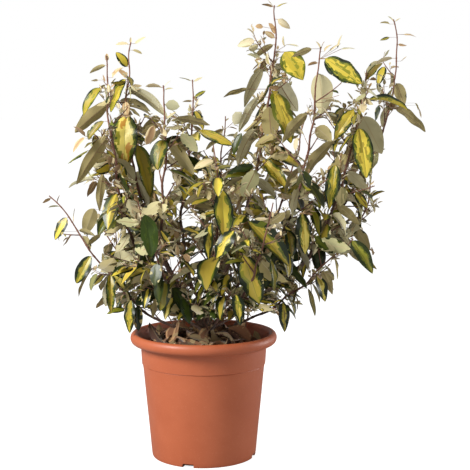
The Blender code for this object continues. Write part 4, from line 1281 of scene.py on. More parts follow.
@dataclass(frozen=True)
class Growth:
    """The rule by which twigs, leaves and shoots follow one another along a stem.

    Spreads are angles from the wood that bears the thing. A size is a share of the stem's leaf length.
    A leaf from low_height down is greener and darker, more so over low_range, partly as painted shade.
    """

    seed: int = 31
    twig_radius: float = 0.0012
    twig_tip_radius: float = 0.0007
    internode: float = 0.0182
    young_internode: float = 0.0105
    first_node: float = 0.010
    golden_turn: float = 137.5
    turn_jitter: float = 22.0
    large_droop: Pair = (20.0, 72.0)
    young_droop: Pair = (-45.0, 15.0)
    mature_share: float = 0.54
    young_size: float = 0.28
    young_from: float = 0.45
    stem_leaf_size: Pair = (0.62, 1.06)
    leaf_roll: float = 38.0
    turned_roll: Pair = (70.0, 290.0)
    turned_share: float = 0.44
    turned_low: float = 0.14
    lowest_height: float = 0.36
    low_height: float = 0.46
    low_range: float = 0.16
    leaf_width: Pair = (0.40, 0.54)
    shown_detail: float = 0.045
    shown_clear: float = 0.038
    young_limit: float = 0.030
    small_limit: float = 0.034
    middling_limit: float = 0.050
    twig_zone: float = 0.78
    first_twig: float = 0.3
    twig_spacing: float = 0.027
    twig_reach: Pair = (0.62, 1.15)
    twig_spread: Pair = (34.0, 60.0)
    twig_shortening: Pair = (1.05, 0.50)
    twig_arch: float = 0.08
    twig_leaf_spacing: float = 0.0110
    twig_leaf_size: Pair = (0.32, 0.80)
    twig_leaf_droop: Pair = (5.0, 72.0)
    droop_shrink: float = 0.13
    row_spread: Pair = (50.0, 80.0)
    spray_share: float = 0.5
    low_start: float = 0.60
    upper_from: float = 0.6
    upper_shrink: float = 0.35
    inward_low: float = 0.45
    inward_heights: Pair = (0.34, 0.50)
    crown_middle: float = 0.03
    shoot_chance: float = 0.92
    shoot_length: Pair = (0.012, 0.056)
    shoot_turn: float = 60.0
    shoot_spread: Pair = (28.0, 62.0)
    shoot_radius: float = 0.00065
    shoot_taper: float = 0.6
    shoot_longest: float = 1.1
    shoot_shrink: float = 0.6
    shoot_lift: float = 0.15
    twig_shoots: float = 0.7
    young_spacing: float = 0.0070
    young_length: Pair = (0.011, 0.027)
    young_spread: Pair = (24.0, 66.0)
    young_turn: float = 20.0
    young_roll: float = 50.0
    young_width: Pair = (0.36, 0.52)
    last_spread: float = 0.45
    tip_zone: float = 0.955
    tries: int = 8
    shoot_tries: int = 2
    young_tries: int = 3
    try_shrink: float = 0.95
    lens_thickness: float = 0.05
    least_seen: float = 0.008
    reach_beyond: float = 0.010
    reach_below: float = 0.040
    reach_above: float = 0.026
    kept_share: float = 0.76


@dataclass
class Branch:
    """A grown stem, twig or shoot with the shares of its length where it has nodes."""

    path: Path
    start: float = 0.0
    nodes: list[float] = field(default_factory=list)


@dataclass
class Bough:
    """One stem with the box of its solid, its source of chance, and all that grows on it."""

    stem: Stem
    wood: Branch
    box: Sequence[Sequence[float]]
    chance: random.Random
    twigs: list[Branch] = field(default_factory=list)
    shoots: list[Branch] = field(default_factory=list)
    leaves: list[Leaf] = field(default_factory=list)
    young: list[Leaf] = field(default_factory=list)


class Group(Enum):
    """The sides of the crown, each of which is its own set of pieces, by their stems' names."""

    LEFT = ("left", "centre_left")
    RIGHT = ("right", "centre_tall")
    FRONT = ("front",)
    BACK = ("back",)


def leaning(out: Vector, along: Vector, spread: float) -> tuple[Vector, Vector]:
    """Leans a way out from a branch.

    Args:
        out: the way that it leans towards.
        along: the way that the branch points.
        spread: the angle between the branch and the result.

    Returns:
        The way out square to the branch, and the leaning way.
    """
    out = (out - along * out.dot(along)).normalized()
    turn = math.radians(spread)
    return out, out * math.sin(turn) + along * math.cos(turn)


class Crown:
    """The whole crown, grown a kind at a time so that each keeps clear of what is there."""

    def __init__(self, growth: Growth, paths: dict[str, Path]) -> None:
        """Starts with the stems' wood alone.

        Args:
            growth: the rule of growth.
            paths: the paths of the trunk and of every stem.
        """
        self.growth = growth
        self.space = Space()
        self.outlines = Outlines()
        self.boughs = {
            stem.name: Bough(
                stem,
                Branch(paths[stem.name], stem.bare * growth.low_start),
                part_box(f"foliage_{stem.name}"),
                random.Random(f"{growth.seed} {stem.name}"),
            )
            for stem in STEMS
        }
        ovals = [[size / 1000 for size in opening] for opening in OPENINGS]
        self.kept_clear = [(x, z, 1.0, 0.0, width, height, FAR) for x, z, width, height in ovals]
        for path in paths.values():
            for bar in path.bars(0.0):
                self.space.add(*self.outlines.bar(*bar))

    def side(self, group: Group) -> list[Bough]:
        """The boughs of one side of the crown."""
        return [bough for name, bough in self.boughs.items() if name.startswith(group.value)]

    def inside(self, bough: Bough, corners: Iterable[Sequence[float]]) -> bool:
        """Says if a form keeps to its mass's space and clear of the pot.

        Args:
            bough: the bough that bears it.
            corners: its corners.

        Returns:
            True if every corner does.
        """
        rule, (low, high) = self.growth, bough.box
        return all(
            low[0] - rule.reach_beyond < x < high[0] + rule.reach_beyond
            and low[1] - rule.reach_beyond < y < high[1] + rule.reach_beyond
            and low[2] - rule.reach_below < z < high[2] + rule.reach_above
            and z >= POT.lowest(math.hypot(x, y))
            for x, y, z in corners
        )

    def keep_in_view(self, leaf: Leaf) -> None:
        """Keeps what grows later from standing in front of a listed leaf.

        Args:
            leaf: the leaf.
        """
        base, middle = leaf.base(), leaf.middle()
        side = leaf.above.cross(leaf.along) * (leaf.length * leaf.width / 2)
        seen = in_view((base, base + leaf.along * leaf.length, middle + side, middle - side))
        along, across = seen[1] - seen[0], seen[2] - seen[3]
        length = max(self.growth.least_seen, float(np.linalg.norm(along)))
        way = along / length
        width = max(self.growth.least_seen, abs(float(way[0] * across[1] - way[1] * across[0])))
        share = self.growth.kept_share / 2
        self.kept_clear.append((*in_view((middle,))[0], *way, length * share, width * share, middle.y))

    def hides(self, points: Iterable[Sequence[float]]) -> bool:
        """Says if a form would stand in an opening of the front view or before a listed leaf.

        Args:
            points: its corners.

        Returns:
            True if it would.
        """
        kept = np.array(self.kept_clear)
        corners = np.array([tuple(point) for point in points])
        corners = np.concatenate((corners, corners.mean(axis=0)[None, :]))
        away = in_view(corners)[:, None, :] - kept[None, :, :2]
        along = (away * kept[None, :, 2:4]).sum(axis=2) / kept[:, 4]
        across = (away[:, :, 0] * kept[:, 3] - away[:, :, 1] * kept[:, 2]) / kept[:, 5]
        before = corners[:, 1:2] < kept[None, :, 6]
        return bool((before & (along**2 + across**2 < 1)).any())

    def place_leaf(
        self, bough: Bough, tries: Iterable[Leaf], kind: list[Leaf] | None = None, forced: bool = False
    ) -> None:
        """Adds the first of some leaves that finds room, if any does.

        Args:
            bough: the bough that bears it.
            tries: the leaves to try.
            kind: the list that it joins, the large or the young leaves by its length if left out.
            forced: True to add the first one whatever is there.
        """
        for leaf in tries:
            corners, tree = self.outlines.leaf(leaf, self.growth.lens_thickness)
            form = (tree, leaf.middle(), leaf.length * 0.52)
            if forced or (self.inside(bough, corners) and not self.hides(corners) and self.space.free(*form)):
                self.space.add(*form)
                if kind is None:
                    kind = bough.leaves if leaf.length > self.growth.young_limit else bough.young
                kind.append(leaf)
                return

    def grow_shown(self) -> None:
        """The leaves that stand out in the front view, each on its stem at its height."""
        rule = self.growth
        for name, row in ((name, row) for name, rows in SHOWN_LEAVES.items() for row in rows):
            bough, shown = self.boughs[name], Shown(*row)
            path, length, rise = bough.wood.path, shown.length / 1000, math.radians(shown.rise)
            share = min(0.995, path.share_at_height(shown.height / 1000))
            size = (length, shown.width, shown.dress)
            leaf = hanging_leaf(path.place(share), shown.heading, shown.droop, shown.roll, *size)
            leaf.stalk, leaf.shown = shown.stalk, length > rule.shown_detail
            leaf.out = leaf.out * math.cos(rise) + UP * math.sin(rise)
            bough.wood.nodes.append(share)
            self.place_leaf(bough, [leaf], forced=True)
            if length > rule.shown_clear:
                self.keep_in_view(leaf)

    def grow_twigs(self, bough: Bough) -> None:
        """Side twigs, up to where the leaves turn young. A twig that meets anything is skipped.

        Args:
            bough: the bough that bears them.
        """
        rule, stem, chance, path = self.growth, bough.stem, bough.chance, bough.wood.path
        heading = chance.uniform(0, 360)
        first = bough.wood.start
        last = stem.bare + (1 - stem.bare) * rule.twig_zone
        count = int((last - first) * path.length / rule.twig_spacing)
        low, high = rule.twig_shortening
        for number in range(count):
            share = first + (last - first) * (number + rule.first_twig) / count
            foot, along = path.place(share), path.direction(share)
            for _ in range(rule.tries):
                heading += rule.golden_turn + self.jitter(chance)
                out, way = leaning(compass(heading), along, between(chance, rule.twig_spread))
                length = stem.leaf * between(chance, rule.twig_reach)
                length *= low + (high - low) * stem.way_up(share)
                elbow = foot + way * (length * 0.5) + out * (length * rule.twig_arch)
                twig = Path(foot, elbow, foot + way * length, rule.twig_radius, rule.twig_tip_radius)
                clear = (path.radius(share) + 0.004) / length
                bars = [self.outlines.bar(*bar) for bar in twig.bars(clear)]
                tip = twig.place(1.0)
                if not self.inside(bough, [tip]) or self.hides((twig.place(0.7), tip)):
                    continue
                if all(self.space.free(*bar) for bar in bars):
                    for bar in bars:
                        self.space.add(*bar)
                    bough.twigs.append(Branch(twig))
                    bough.wood.nodes.append(share)
                    break

    def dress_for(self, foot: Vector, length: float, chance: random.Random) -> Dress:
        """The colours of a leaf: greener and darker low down, partly as painted shade, and dull while it is
        small.

        Args:
            foot: where it leaves the wood.
            length: its length.
            chance: the source of the choice.

        Returns:
            The colours.
        """
        rule = self.growth
        # Low down, more leaves take the dark green and shaded dresses: partly real green leaves, partly
        # painted shade.
        low = limited((rule.low_height - foot.z) / rule.low_range)
        if length < rule.small_limit:
            return chance.choice((YOUNG, TAN, DULL) if low < 0.6 else (GREEN, SHADED, DULL))
        if length < rule.middling_limit and chance.random() < 0.55 - 0.42 * low:
            return chance.choice((DULL, KHAKI, SHADED))
        draw = chance.random()
        if draw < 0.16 + 0.48 * low:
            return GREEN
        if draw < 0.34 + 0.42 * low:
            return LIME
        if draw < 0.66 + 0.26 * low:
            return chance.choice((SHADED, BRONZE))
        return SCORCHED_LEAF if draw > 0.94 else VARIEGATED

    def outward(self, foot: Vector, heading: float) -> float:
        """Turns a low leaf's heading some of the way to the outside of the crown.

        Args:
            foot: where it leaves the wood.
            heading: its heading by the rule of the wood.

        Returns:
            The new heading.
        """
        rule = self.growth
        low, high = rule.inward_heights
        share = rule.inward_low + (1 - rule.inward_low) * limited((foot.z - low) / (high - low))
        away = math.degrees(math.atan2(foot.y, foot.x - rule.crown_middle))
        return away + ((heading - away + 180) % 360 - 180) * share

    def jitter(self, chance: random.Random) -> float:
        """The unevenness of a turn."""
        return chance.uniform(-self.growth.turn_jitter, self.growth.turn_jitter)

    def roll(self, foot: Vector, chance: random.Random) -> float:
        """How far a leaf is turned about its midrib, some of them right over, but few low down.

        Args:
            foot: where it leaves the wood.
            chance: the source of the choice.

        Returns:
            The angle.
        """
        rule = self.growth
        turned = chance.random() < (rule.turned_low if foot.z < rule.lowest_height else rule.turned_share)
        return between(chance, rule.turned_roll if turned else (-rule.leaf_roll, rule.leaf_roll))

    def grow_stem_leaves(self, bough: Bough) -> None:
        """Leaves up a stem, large low down and young towards the tip.

        Args:
            bough: the bough that bears them.
        """
        rule, stem, chance, path = self.growth, bough.stem, bough.chance, bough.wood.path
        heading = chance.uniform(0, 360)
        if stem.listed == 1:
            self.grow_young(bough, Branch(path, rule.tip_zone), 0.0)
        at = bough.wood.start * path.length + rule.first_node
        while at < path.length * min(rule.tip_zone, stem.listed):
            share = at / path.length
            foot = path.place(share)
            past = max(0.0, stem.way_up(share) - rule.mature_share) / (1 - rule.mature_share)
            grown = 1 + (rule.young_size - 1) * past
            droops = [a + (b - a) * grown for a, b in zip(rule.young_droop, rule.large_droop)]
            heading += rule.golden_turn
            tries = []
            for number in range(rule.tries):
                turn = self.outward(foot, heading + self.jitter(chance) * (1 + number))
                droop = chance.uniform(*droops)
                length = stem.leaf * grown * between(chance, rule.stem_leaf_size)
                roll, width = self.roll(foot, chance), between(chance, rule.leaf_width)
                young = length < rule.small_limit or grown < rule.young_from
                dress = YOUNG if young else self.dress_for(foot, length, chance)
                length *= rule.try_shrink**number
                tries.append(hanging_leaf(foot, turn, droop, roll, length, width, dress))
            self.place_leaf(bough, tries)
            bough.wood.nodes.append(share)
            at += rule.young_internode + (rule.internode - rule.young_internode) * grown

    def grow_twig_leaves(self, bough: Bough, twig: Branch) -> None:
        """Leaves in two rows along a side twig, with one at its tip.

        Args:
            bough: the bough that the twig belongs to.
            twig: the twig.
        """
        rule, stem, chance, path = self.growth, bough.stem, bough.chance, twig.path
        along = path.direction(0.5)
        side = math.degrees(math.atan2(along.y, along.x))
        count = max(2, int(path.length / rule.twig_leaf_spacing))
        spray = self.dress_for(path.place(1.0), stem.leaf * 0.75, chance)
        height = path.points[0][2] / bough.wood.path.points[-1][2]
        height = max(0.0, height - rule.upper_from) / (1 - rule.upper_from)
        for number in range(count):
            last = number == count - 1
            share = 0.97 if last else (number + 1) / count
            foot = path.place(share)
            tries = []
            for attempt in range(rule.tries):
                offset = self.jitter(chance) * (1 + attempt)
                if not last:
                    offset += between(chance, rule.row_spread) * (1 if number % 2 else -1)
                length = stem.leaf * between(chance, rule.twig_leaf_size) * rule.try_shrink**attempt
                length *= 1 - rule.upper_shrink * height
                droop = between(chance, rule.twig_leaf_droop) * (1 - rule.droop_shrink * attempt)
                roll, width = self.roll(foot, chance), between(chance, rule.leaf_width)
                usual = chance.random() < rule.spray_share
                dress = spray if usual else self.dress_for(foot, length, chance)
                turn = self.outward(foot, side + offset)
                tries.append(hanging_leaf(foot, turn, droop, roll, length, width, dress))
            self.place_leaf(bough, tries, bough.leaves)
            twig.nodes.append(share)

    def grow_shoots(self, bough: Bough, branch: Branch, reach: float) -> None:
        """Short shoots of young leaves from a branch's nodes.

        Args:
            bough: the bough that the branch belongs to.
            branch: the bough's own wood or one of its twigs.
            reach: how long the shoots are against those of a stem's lower part.
        """
        rule, chance = self.growth, bough.chance
        heading = chance.uniform(0, 360)
        for share in sorted(branch.nodes):
            heading += rule.golden_turn
            if share < branch.start or chance.random() > rule.shoot_chance:
                continue
            if branch is bough.wood and share > bough.stem.listed:
                continue
            foot, along = branch.path.place(share), branch.path.direction(share)
            q = (share - branch.start) / (1 - branch.start)
            for _ in range(rule.shoot_tries):
                out = compass(heading + chance.uniform(-rule.shoot_turn, rule.shoot_turn))
                _, way = leaning(out, along, between(chance, rule.shoot_spread))
                length = between(chance, rule.shoot_length) * reach
                length *= rule.shoot_longest - rule.shoot_shrink * q
                elbow = foot + way * (length * 0.5)
                end = foot + way * length + UP * (length * rule.shoot_lift)
                path = Path(foot, elbow, end, rule.shoot_radius, rule.shoot_radius * rule.shoot_taper)
                clear = min(0.5, (branch.path.radius(share) + 0.002) / length)
                bar = self.outlines.bar(*next(path.bars(clear, run=1.0)))
                if not self.inside(bough, [end]) or self.hides((path.place(0.5), end)):
                    continue
                if self.space.free(*bar):
                    self.space.add(*bar)
                    bough.shoots.append(Branch(path))
                    self.grow_young(bough, bough.shoots[-1], q)
                    break

    def grow_young(self, bough: Bough, shoot: Branch, q: float) -> None:
        """Young leaves along a shoot, smaller towards its tip.

        Args:
            bough: the bough that the shoot belongs to.
            shoot: the shoot.
            q: how far up its branch the shoot stands.
        """
        rule, chance, path = self.growth, bough.chance, shoot.path
        count = max(2, int((1 - shoot.start) * path.length / rule.young_spacing))
        heading = chance.uniform(0, 360)
        for number in range(count):
            share = min(0.985, shoot.start + (1 - shoot.start) * (number + 1) / count)
            foot, along = path.place(share), path.direction(share)
            # Young leaves low down take darker tones, partly as painted shade.
            dresses = (TAN, TAN, YOUNG, YOUNG, YOUNG) if foot.z > rule.lowest_height else (TAN, DULL, SHADED)
            tries = []
            for _ in range(rule.young_tries):
                heading += rule.golden_turn + chance.uniform(-rule.young_turn, rule.young_turn)
                turn = Matrix.Rotation(math.radians(heading), 3, along)
                out = turn @ along.orthogonal().normalized()
                spread = between(chance, rule.young_spread)
                spread = math.radians(spread * (rule.last_spread if number == count - 1 else 1))
                way = (along * math.cos(spread) + out * math.sin(spread)).normalized()
                length = between(chance, rule.young_length) * (1.15 - 0.45 * share) * (1.1 - 0.35 * q)
                roll = chance.uniform(-rule.young_roll, rule.young_roll)
                width = between(chance, rule.young_width)
                tries.append(pointing_leaf(foot, way, roll, length, width, chance.choice(dresses)))
            self.place_leaf(bough, tries, bough.young)
            shoot.nodes.append(share)

    def grow(self) -> None:
        """Grows every kind in turn."""
        boughs = self.boughs.values()
        self.grow_shown()
        for bough in boughs:
            self.grow_twigs(bough)
        for bough in boughs:
            self.grow_stem_leaves(bough)
        for bough, twig in [(bough, twig) for bough in boughs for twig in bough.twigs]:
            self.grow_twig_leaves(bough, twig)
        for bough in boughs:
            self.grow_shoots(bough, bough.wood, 1.0)
            for twig in bough.twigs:
                self.grow_shoots(bough, twig, self.growth.twig_shoots)
        for kind in ("leaves", "young", "twigs", "shoots"):
            LOG.info("grown: %d %s", sum(len(getattr(bough, kind)) for bough in boughs), kind)


@dataclass
class Foliage:
    """The crown's twigs and leaves as joined pieces, a set for each side of the crown."""

    crown: Crown
    large_shapes: int = 24
    low_height: float = 0.45
    young_shapes: int = 18
    stem_sides: int = 8
    twig_sides: int = 6
    shoot_sides: int = 4
    stem_run: float = 0.003
    twig_run: float = 0.004
    node_swell: float = 0.28
    node_length: float = 0.0022

    def __post_init__(self) -> None:
        """Makes the leaf shapes that the leaves are dealt from."""
        chance = random.Random(self.crown.growth.seed)
        self.large = [
            [form.shape(chance) for _ in range(self.large_shapes)] for form in (LARGE_FORM, LOW_FORM)
        ]
        self.young = [YOUNG_FORM.shape(chance) for _ in range(self.young_shapes)]

    def swell(self, branch: Branch) -> Callable[[np.ndarray], np.ndarray]:
        """The swelling of a branch's radius at its nodes.

        Args:
            branch: the branch.

        Returns:
            The factors on the radius for shares of the length.
        """
        nodes = np.array(branch.nodes or [2.0])
        width = self.node_length / branch.path.length

        def factor(shares: np.ndarray) -> np.ndarray:
            """The factor on the radius at some shares of the length."""
            near = np.exp(-(((shares[:, None] - nodes[None, :]) / width) ** 2))
            return 1 + self.node_swell * near.max(axis=1)

        return factor

    def add_cane(self, joined: Joined, branch: Branch, sides: int, run: float, tones: Sequence[Tone]) -> None:
        """Adds a branch's wood.

        Args:
            joined: the piece that it goes into.
            branch: the branch.
            sides: how many sides its cane has.
            run: how far apart its rings are.
            tones: the tones from its foot to its tip.
        """
        start = max(0.0, branch.start - 0.002)
        rings = max(3, round((1 - start) * branch.path.length / run))
        shape = cane(sides, rings)
        corners = bent_cane(shape, branch.path, start, 1.0, self.swell(branch))
        joined.add(corners, shape, [tones[int(ring / rings * len(tones))] for ring in range(rings)])

    def wood(self, group: Group) -> Joined:
        """The stems above their bare part, twigs and shoots of one side.

        Args:
            group: the side.

        Returns:
            The piece, not built yet.
        """
        joined = Joined(f"twigs_{group.name.lower()}", sharp_angle=60)
        for bough in self.crown.side(group):
            tones = [tone for tone in WOOD_TONES for _ in range(2)]
            self.add_cane(joined, bough.wood, self.stem_sides, self.stem_run, tones)
            for twig in bough.twigs:
                self.add_cane(joined, twig, self.twig_sides, self.twig_run, (WOOD_MID, WOOD_YOUNG))
            for shoot in bough.shoots:
                self.add_cane(joined, shoot, self.shoot_sides, self.twig_run, (SHOOT_WOOD,))
        return joined

    def blades(self, group: Group) -> tuple[Joined, Joined]:
        """The large and the young leaves of one side.

        Args:
            group: the side.

        Returns:
            The two pieces, not built yet.
        """
        large = Joined(f"large_leaves_{group.name.lower()}")
        young = Joined(f"young_leaves_{group.name.lower()}")
        for bough in self.crown.side(group):
            chance = random.Random(f"{self.crown.growth.seed} blades {bough.stem.name}")
            for leaf in bough.leaves:
                # Leaves low in the crown take the narrower-centred forms, greener and darker partly as
                # painted shade.
                low = leaf.foot.z < self.low_height
                if leaf.shown:
                    form = (SHOWN_LOW_FORM if low else SHOWN_FORM).shape(chance)
                else:
                    form = chance.choice(self.large[low])
                large.add(form.placed(leaf), form.shape, leaf.dress.tones(chance))
            for leaf in bough.young:
                form = chance.choice(self.young)
                young.add(form.placed(leaf), form.shape, leaf.dress.tones(chance))
        return large, young

    def build(self) -> None:
        """Builds every side's pieces."""
        for group in Group:
            nodes = [f"foliage_{bough.stem.name}" for bough in self.crown.side(group)]
            finished(self.wood(group).make(), nodes)
            for joined in self.blades(group):
                finished(joined.make(), nodes)


# Bark


class NodeMaterial:
    """A procedural material that is put together node by node."""

    def __init__(self, name: str) -> None:
        """Starts with a plain shader that reads Object coordinates.

        Args:
            name: the material's name.
        """
        self.made = bpy.data.materials.new(name)
        self.made.use_nodes = True
        self.tree = self.made.node_tree
        self.shader = self.tree.nodes["Principled BSDF"]
        self.coordinates = self.node("TexCoord", "Object")

    def node(
        self, kind: str, output: str, values: dict[str, object] | None = None, **links: Socket
    ) -> Socket:
        """Adds a node.

        Args:
            kind: the kind of node.
            output: the name of the output that is wanted.
            values: plain settings of its inputs.
            links: the sockets that drive its other inputs.

        Returns:
            The output.
        """
        made = self.tree.nodes.new(f"ShaderNode{kind}")
        if kind == "Mix":
            made.data_type = "RGBA"
        for name, value in (values or {}).items():
            made.inputs[name].default_value = value
        for name, source in links.items():
            self.tree.links.new(source, made.inputs[name])
        return made.outputs[output]

    def dress(self, **links: Socket) -> None:
        """Links sockets to the shader's inputs, named with _ for a space."""
        for name, source in links.items():
            self.tree.links.new(source, self.shader.inputs[name.replace("_", " ")])

    def noise(
        self, scale: float, detail: float = 4.0, rough: float = 0.55, at: Socket | None = None
    ) -> Socket:
        """A noise pattern's value."""
        values = {"Scale": scale, "Detail": detail, "Roughness": rough}
        return self.node("TexNoise", "Fac", values, Vector=at or self.coordinates)

    def ramp(self, value: Socket, stops: Sequence[tuple[float, Colour]]) -> Socket:
        """The colours that a value runs through.

        Args:
            value: the socket that drives them.
            stops: each colour's place from 0 to 1, and the colour.

        Returns:
            The colour socket.
        """
        colours = self.node("ValToRGB", "Color", Fac=value)
        elements = colours.node.color_ramp.elements
        while len(elements) < len(stops):
            elements.new(0.5)
        for element, (place, colour) in zip(elements, stops):
            element.position = place
            element.color = linear(colour)
        return colours

    def spread(self, value: Socket, low: Pair, high: Pair) -> Socket:
        """A value mapped from one range, low, to another, high."""
        limits = dict(zip(("From Min", "From Max", "To Min", "To Max"), (*low, *high)))
        return self.node("MapRange", "Result", limits, Value=value)

    def bump(self, height: Socket, strength: float, distance: float) -> None:
        """Adds a bump below the bumps that are there.

        Args:
            height: the socket with its height.
            strength: its strength, from 0 to 1.
            distance: how high it stands.
        """
        links = {"Height": height}
        if self.shader.inputs["Normal"].links:
            links["Normal"] = self.shader.inputs["Normal"].links[0].from_socket
        self.dress(Normal=self.node("Bump", "Normal", {"Strength": strength, "Distance": distance}, **links))


def bark_material() -> bpy.types.Material:
    """The bark: brown with grey patches and pale specks, and finely cracked along the wood.

    Returns:
        The material.
    """
    bark = NodeMaterial("bark")
    along = bark.node("Mapping", "Vector", {"Scale": (1.0, 1.0, 0.35)}, Vector=bark.coordinates)
    grain = bark.noise(520.0, 5.0, 0.6, along)
    base = bark.ramp(grain, ((0.30, (62, 44, 36)), (0.52, (98, 72, 58)), (0.75, (132, 106, 86))))
    grey = bark.ramp(grain, ((0.35, (94, 84, 74)), (0.7, (142, 130, 116))))
    patches = bark.spread(bark.noise(60.0, 3.0), (0.48, 0.62), (0.0, 0.7))
    colour = bark.node("Mix", "Result", Factor=patches, A=base, B=grey)
    bark.dress(Base_Color=colour, Roughness=bark.spread(grain, (0.3, 0.7), (0.72, 0.92)))
    bark.bump(grain, 0.6, 0.0004)
    return bark.made


@dataclass
class Limbs:
    """The trunk and the bare lower part of every stem, in bark with its own relief."""

    trunk_foot: Triple = (0.003, 0.0, 0.1973)
    trunk_tip: Triple = (0.006, 0.002, 0.262)
    trunk_radius: float = 0.0125
    trunk_tip_radius: float = 0.0095
    stem_tip_radius: float = 0.0010
    stem_wobble: float = 0.006
    flare: float = 0.0065
    flare_height: float = 0.010
    fork_from: float = 0.93
    fork_length: float = 0.07
    fork_narrowing: float = 0.75
    collar: float = 0.5
    collar_length: float = 0.012
    trunk_sides: int = 36
    bough_sides: int = 14
    trunk_run: float = 0.0012
    bough_run: float = 0.0018
    leader: float = 0.010
    ridge: float = 0.0010
    bough_ridge: float = 0.45
    ridge_width: float = 0.0045

    def paths(self) -> dict[str, Path]:
        """The paths of the trunk and of every stem, as in the solids.

        Returns:
            Each path by its name.
        """
        foot, top = Vector(self.trunk_foot), Vector(self.trunk_tip)
        elbow = foot + UP * ((top.z - foot.z) / 2)
        found = {"trunk": Path(foot, elbow, top, self.trunk_radius, self.trunk_tip_radius, run=0.003)}
        for stem in STEMS:
            bend = {"wobble": self.stem_wobble, "bow": stem.bow, "bow_from": stem.bare}
            start, elbow = found[stem.parent].place(stem.fork), Vector(stem.elbow)
            tip = Vector(stem.tip) + UP * self.leader
            found[stem.name] = Path(start, elbow, tip, stem.radius, self.stem_tip_radius, **bend)
        return found

    def relief(self, size: float) -> Callable[[np.ndarray], np.ndarray]:
        """The bark's ridges.

        Args:
            size: how high they are.

        Returns:
            Their height at points of the bare wood.
        """

        def height(points: np.ndarray) -> np.ndarray:
            """Makes ridges that run along the wood, broken by finer bumps.

            Args:
                points: the points of the bare wood.

            Returns:
                How far each point stands out.
            """
            found = []
            for x, y, z in points / self.ridge_width:
                ridges = noise.noise(Vector((x, y, z * 0.22)))
                bumps = noise.noise(Vector((x * 2.3, y * 2.3, z * 1.1)))
                found.append(ridges + 0.45 * bumps)
            return np.array(found) * size

        return height

    def build(self, paths: dict[str, Path]) -> None:
        """Builds the piece.

        Args:
            paths: the paths of the trunk and of every stem.
        """
        joined = Joined("bark_limbs", sharp_angle=50)
        tone = Tone("bark_stand_in", (100, 72, 56))
        trunk = paths["trunk"]
        rings = round(trunk.length / self.trunk_run)
        shape = cane(self.trunk_sides, rings)

        def flared(shares: np.ndarray) -> np.ndarray:
            """Swells the trunk at its root flare and rounds its fork.

            Args:
                shares: how far up the trunk.

            Returns:
                The factor of the radius at each.
            """
            flare = self.flare / self.trunk_radius * np.exp(-shares * trunk.length / self.flare_height)
            fork = np.clip((shares - self.fork_from) / self.fork_length, 0.0, 1.0)
            return (1 + flare) * np.sqrt(np.clip(1 - self.fork_narrowing * fork**2, 0.0, 1.0))

        corners = bent_cane(shape, trunk, swell=flared, relief=self.relief(self.ridge))
        joined.add(corners, shape, [tone] * rings)
        for stem in STEMS:
            path = paths[stem.name]
            rings = max(6, round(stem.bare * path.length / self.bough_run))
            shape = cane(self.bough_sides, rings)

            def collared(shares: np.ndarray) -> np.ndarray:
                """The swollen collar where the bough leaves its parent."""
                return 1 + self.collar * np.exp(-shares * path.length / self.collar_length)

            relief = self.relief(self.ridge * self.bough_ridge)
            corners = bent_cane(shape, path, 0.0, stem.bare, collared, relief)
            joined.add(corners, shape, [tone] * rings)
        made = joined.make()
        made.data.materials[0] = bark_material()
        finished(made, ["trunk", *(f"bough_{stem.name}" for stem in STEMS)])


# Pot and soil


def lathe(name: str, profile: Sequence[Pair], steps: int) -> bmesh.types.BMesh:
    """Spins a profile once round the pot's axis.

    Args:
        name: what is made, for the log.
        profile: its section as radius and height.
        steps: how many steps the turn has.

    Returns:
        The turned surface, with its faces pointing outwards.
    """
    form = bmesh.new()
    points = [form.verts.new((radius, 0.0, height)) for radius, height in profile]
    edges = [form.edges.new(pair) for pair in zip(points, points[1:])]
    turn = {"cent": (0, 0, 0), "axis": (0, 0, 1), "angle": math.tau, "steps": steps, "use_merge": True}
    bmesh.ops.spin(form, geom=points + edges, **turn)
    bmesh.ops.remove_doubles(form, verts=form.verts, dist=0.00002)
    bmesh.ops.recalc_face_normals(form, faces=form.faces)
    LOG.info("%s: turned in %d steps", name, steps)
    return form


def pot_material() -> bpy.types.Material:
    """Matte terracotta-coloured plastic, a little cloudy, with dusty specks.

    Returns:
        The material.
    """
    plastic = NodeMaterial("pot_plastic")
    clouds = plastic.noise(14.0, 3.0)
    base = plastic.ramp(clouds, ((0.30, (172, 87, 51)), (0.70, (182, 96, 59))))
    dusty = plastic.ramp(clouds, ((0.30, (200, 126, 94)), (0.70, (208, 136, 106))))
    specks = plastic.spread(plastic.noise(420.0, 2.0), (0.60, 0.74), (0.0, 0.22))
    colour = plastic.node("Mix", "Result", Factor=specks, A=base, B=dusty)
    gloss = plastic.spread(plastic.noise(38.0, 4.0), (0.3, 0.7), (0.42, 0.54))
    plastic.dress(Base_Color=colour, Roughness=gloss)
    plastic.bump(plastic.noise(1400.0, 2.0), 0.12, 0.0002)
    plastic.bump(plastic.noise(9.0, 2.0), 0.10, 0.002)
    return plastic.made


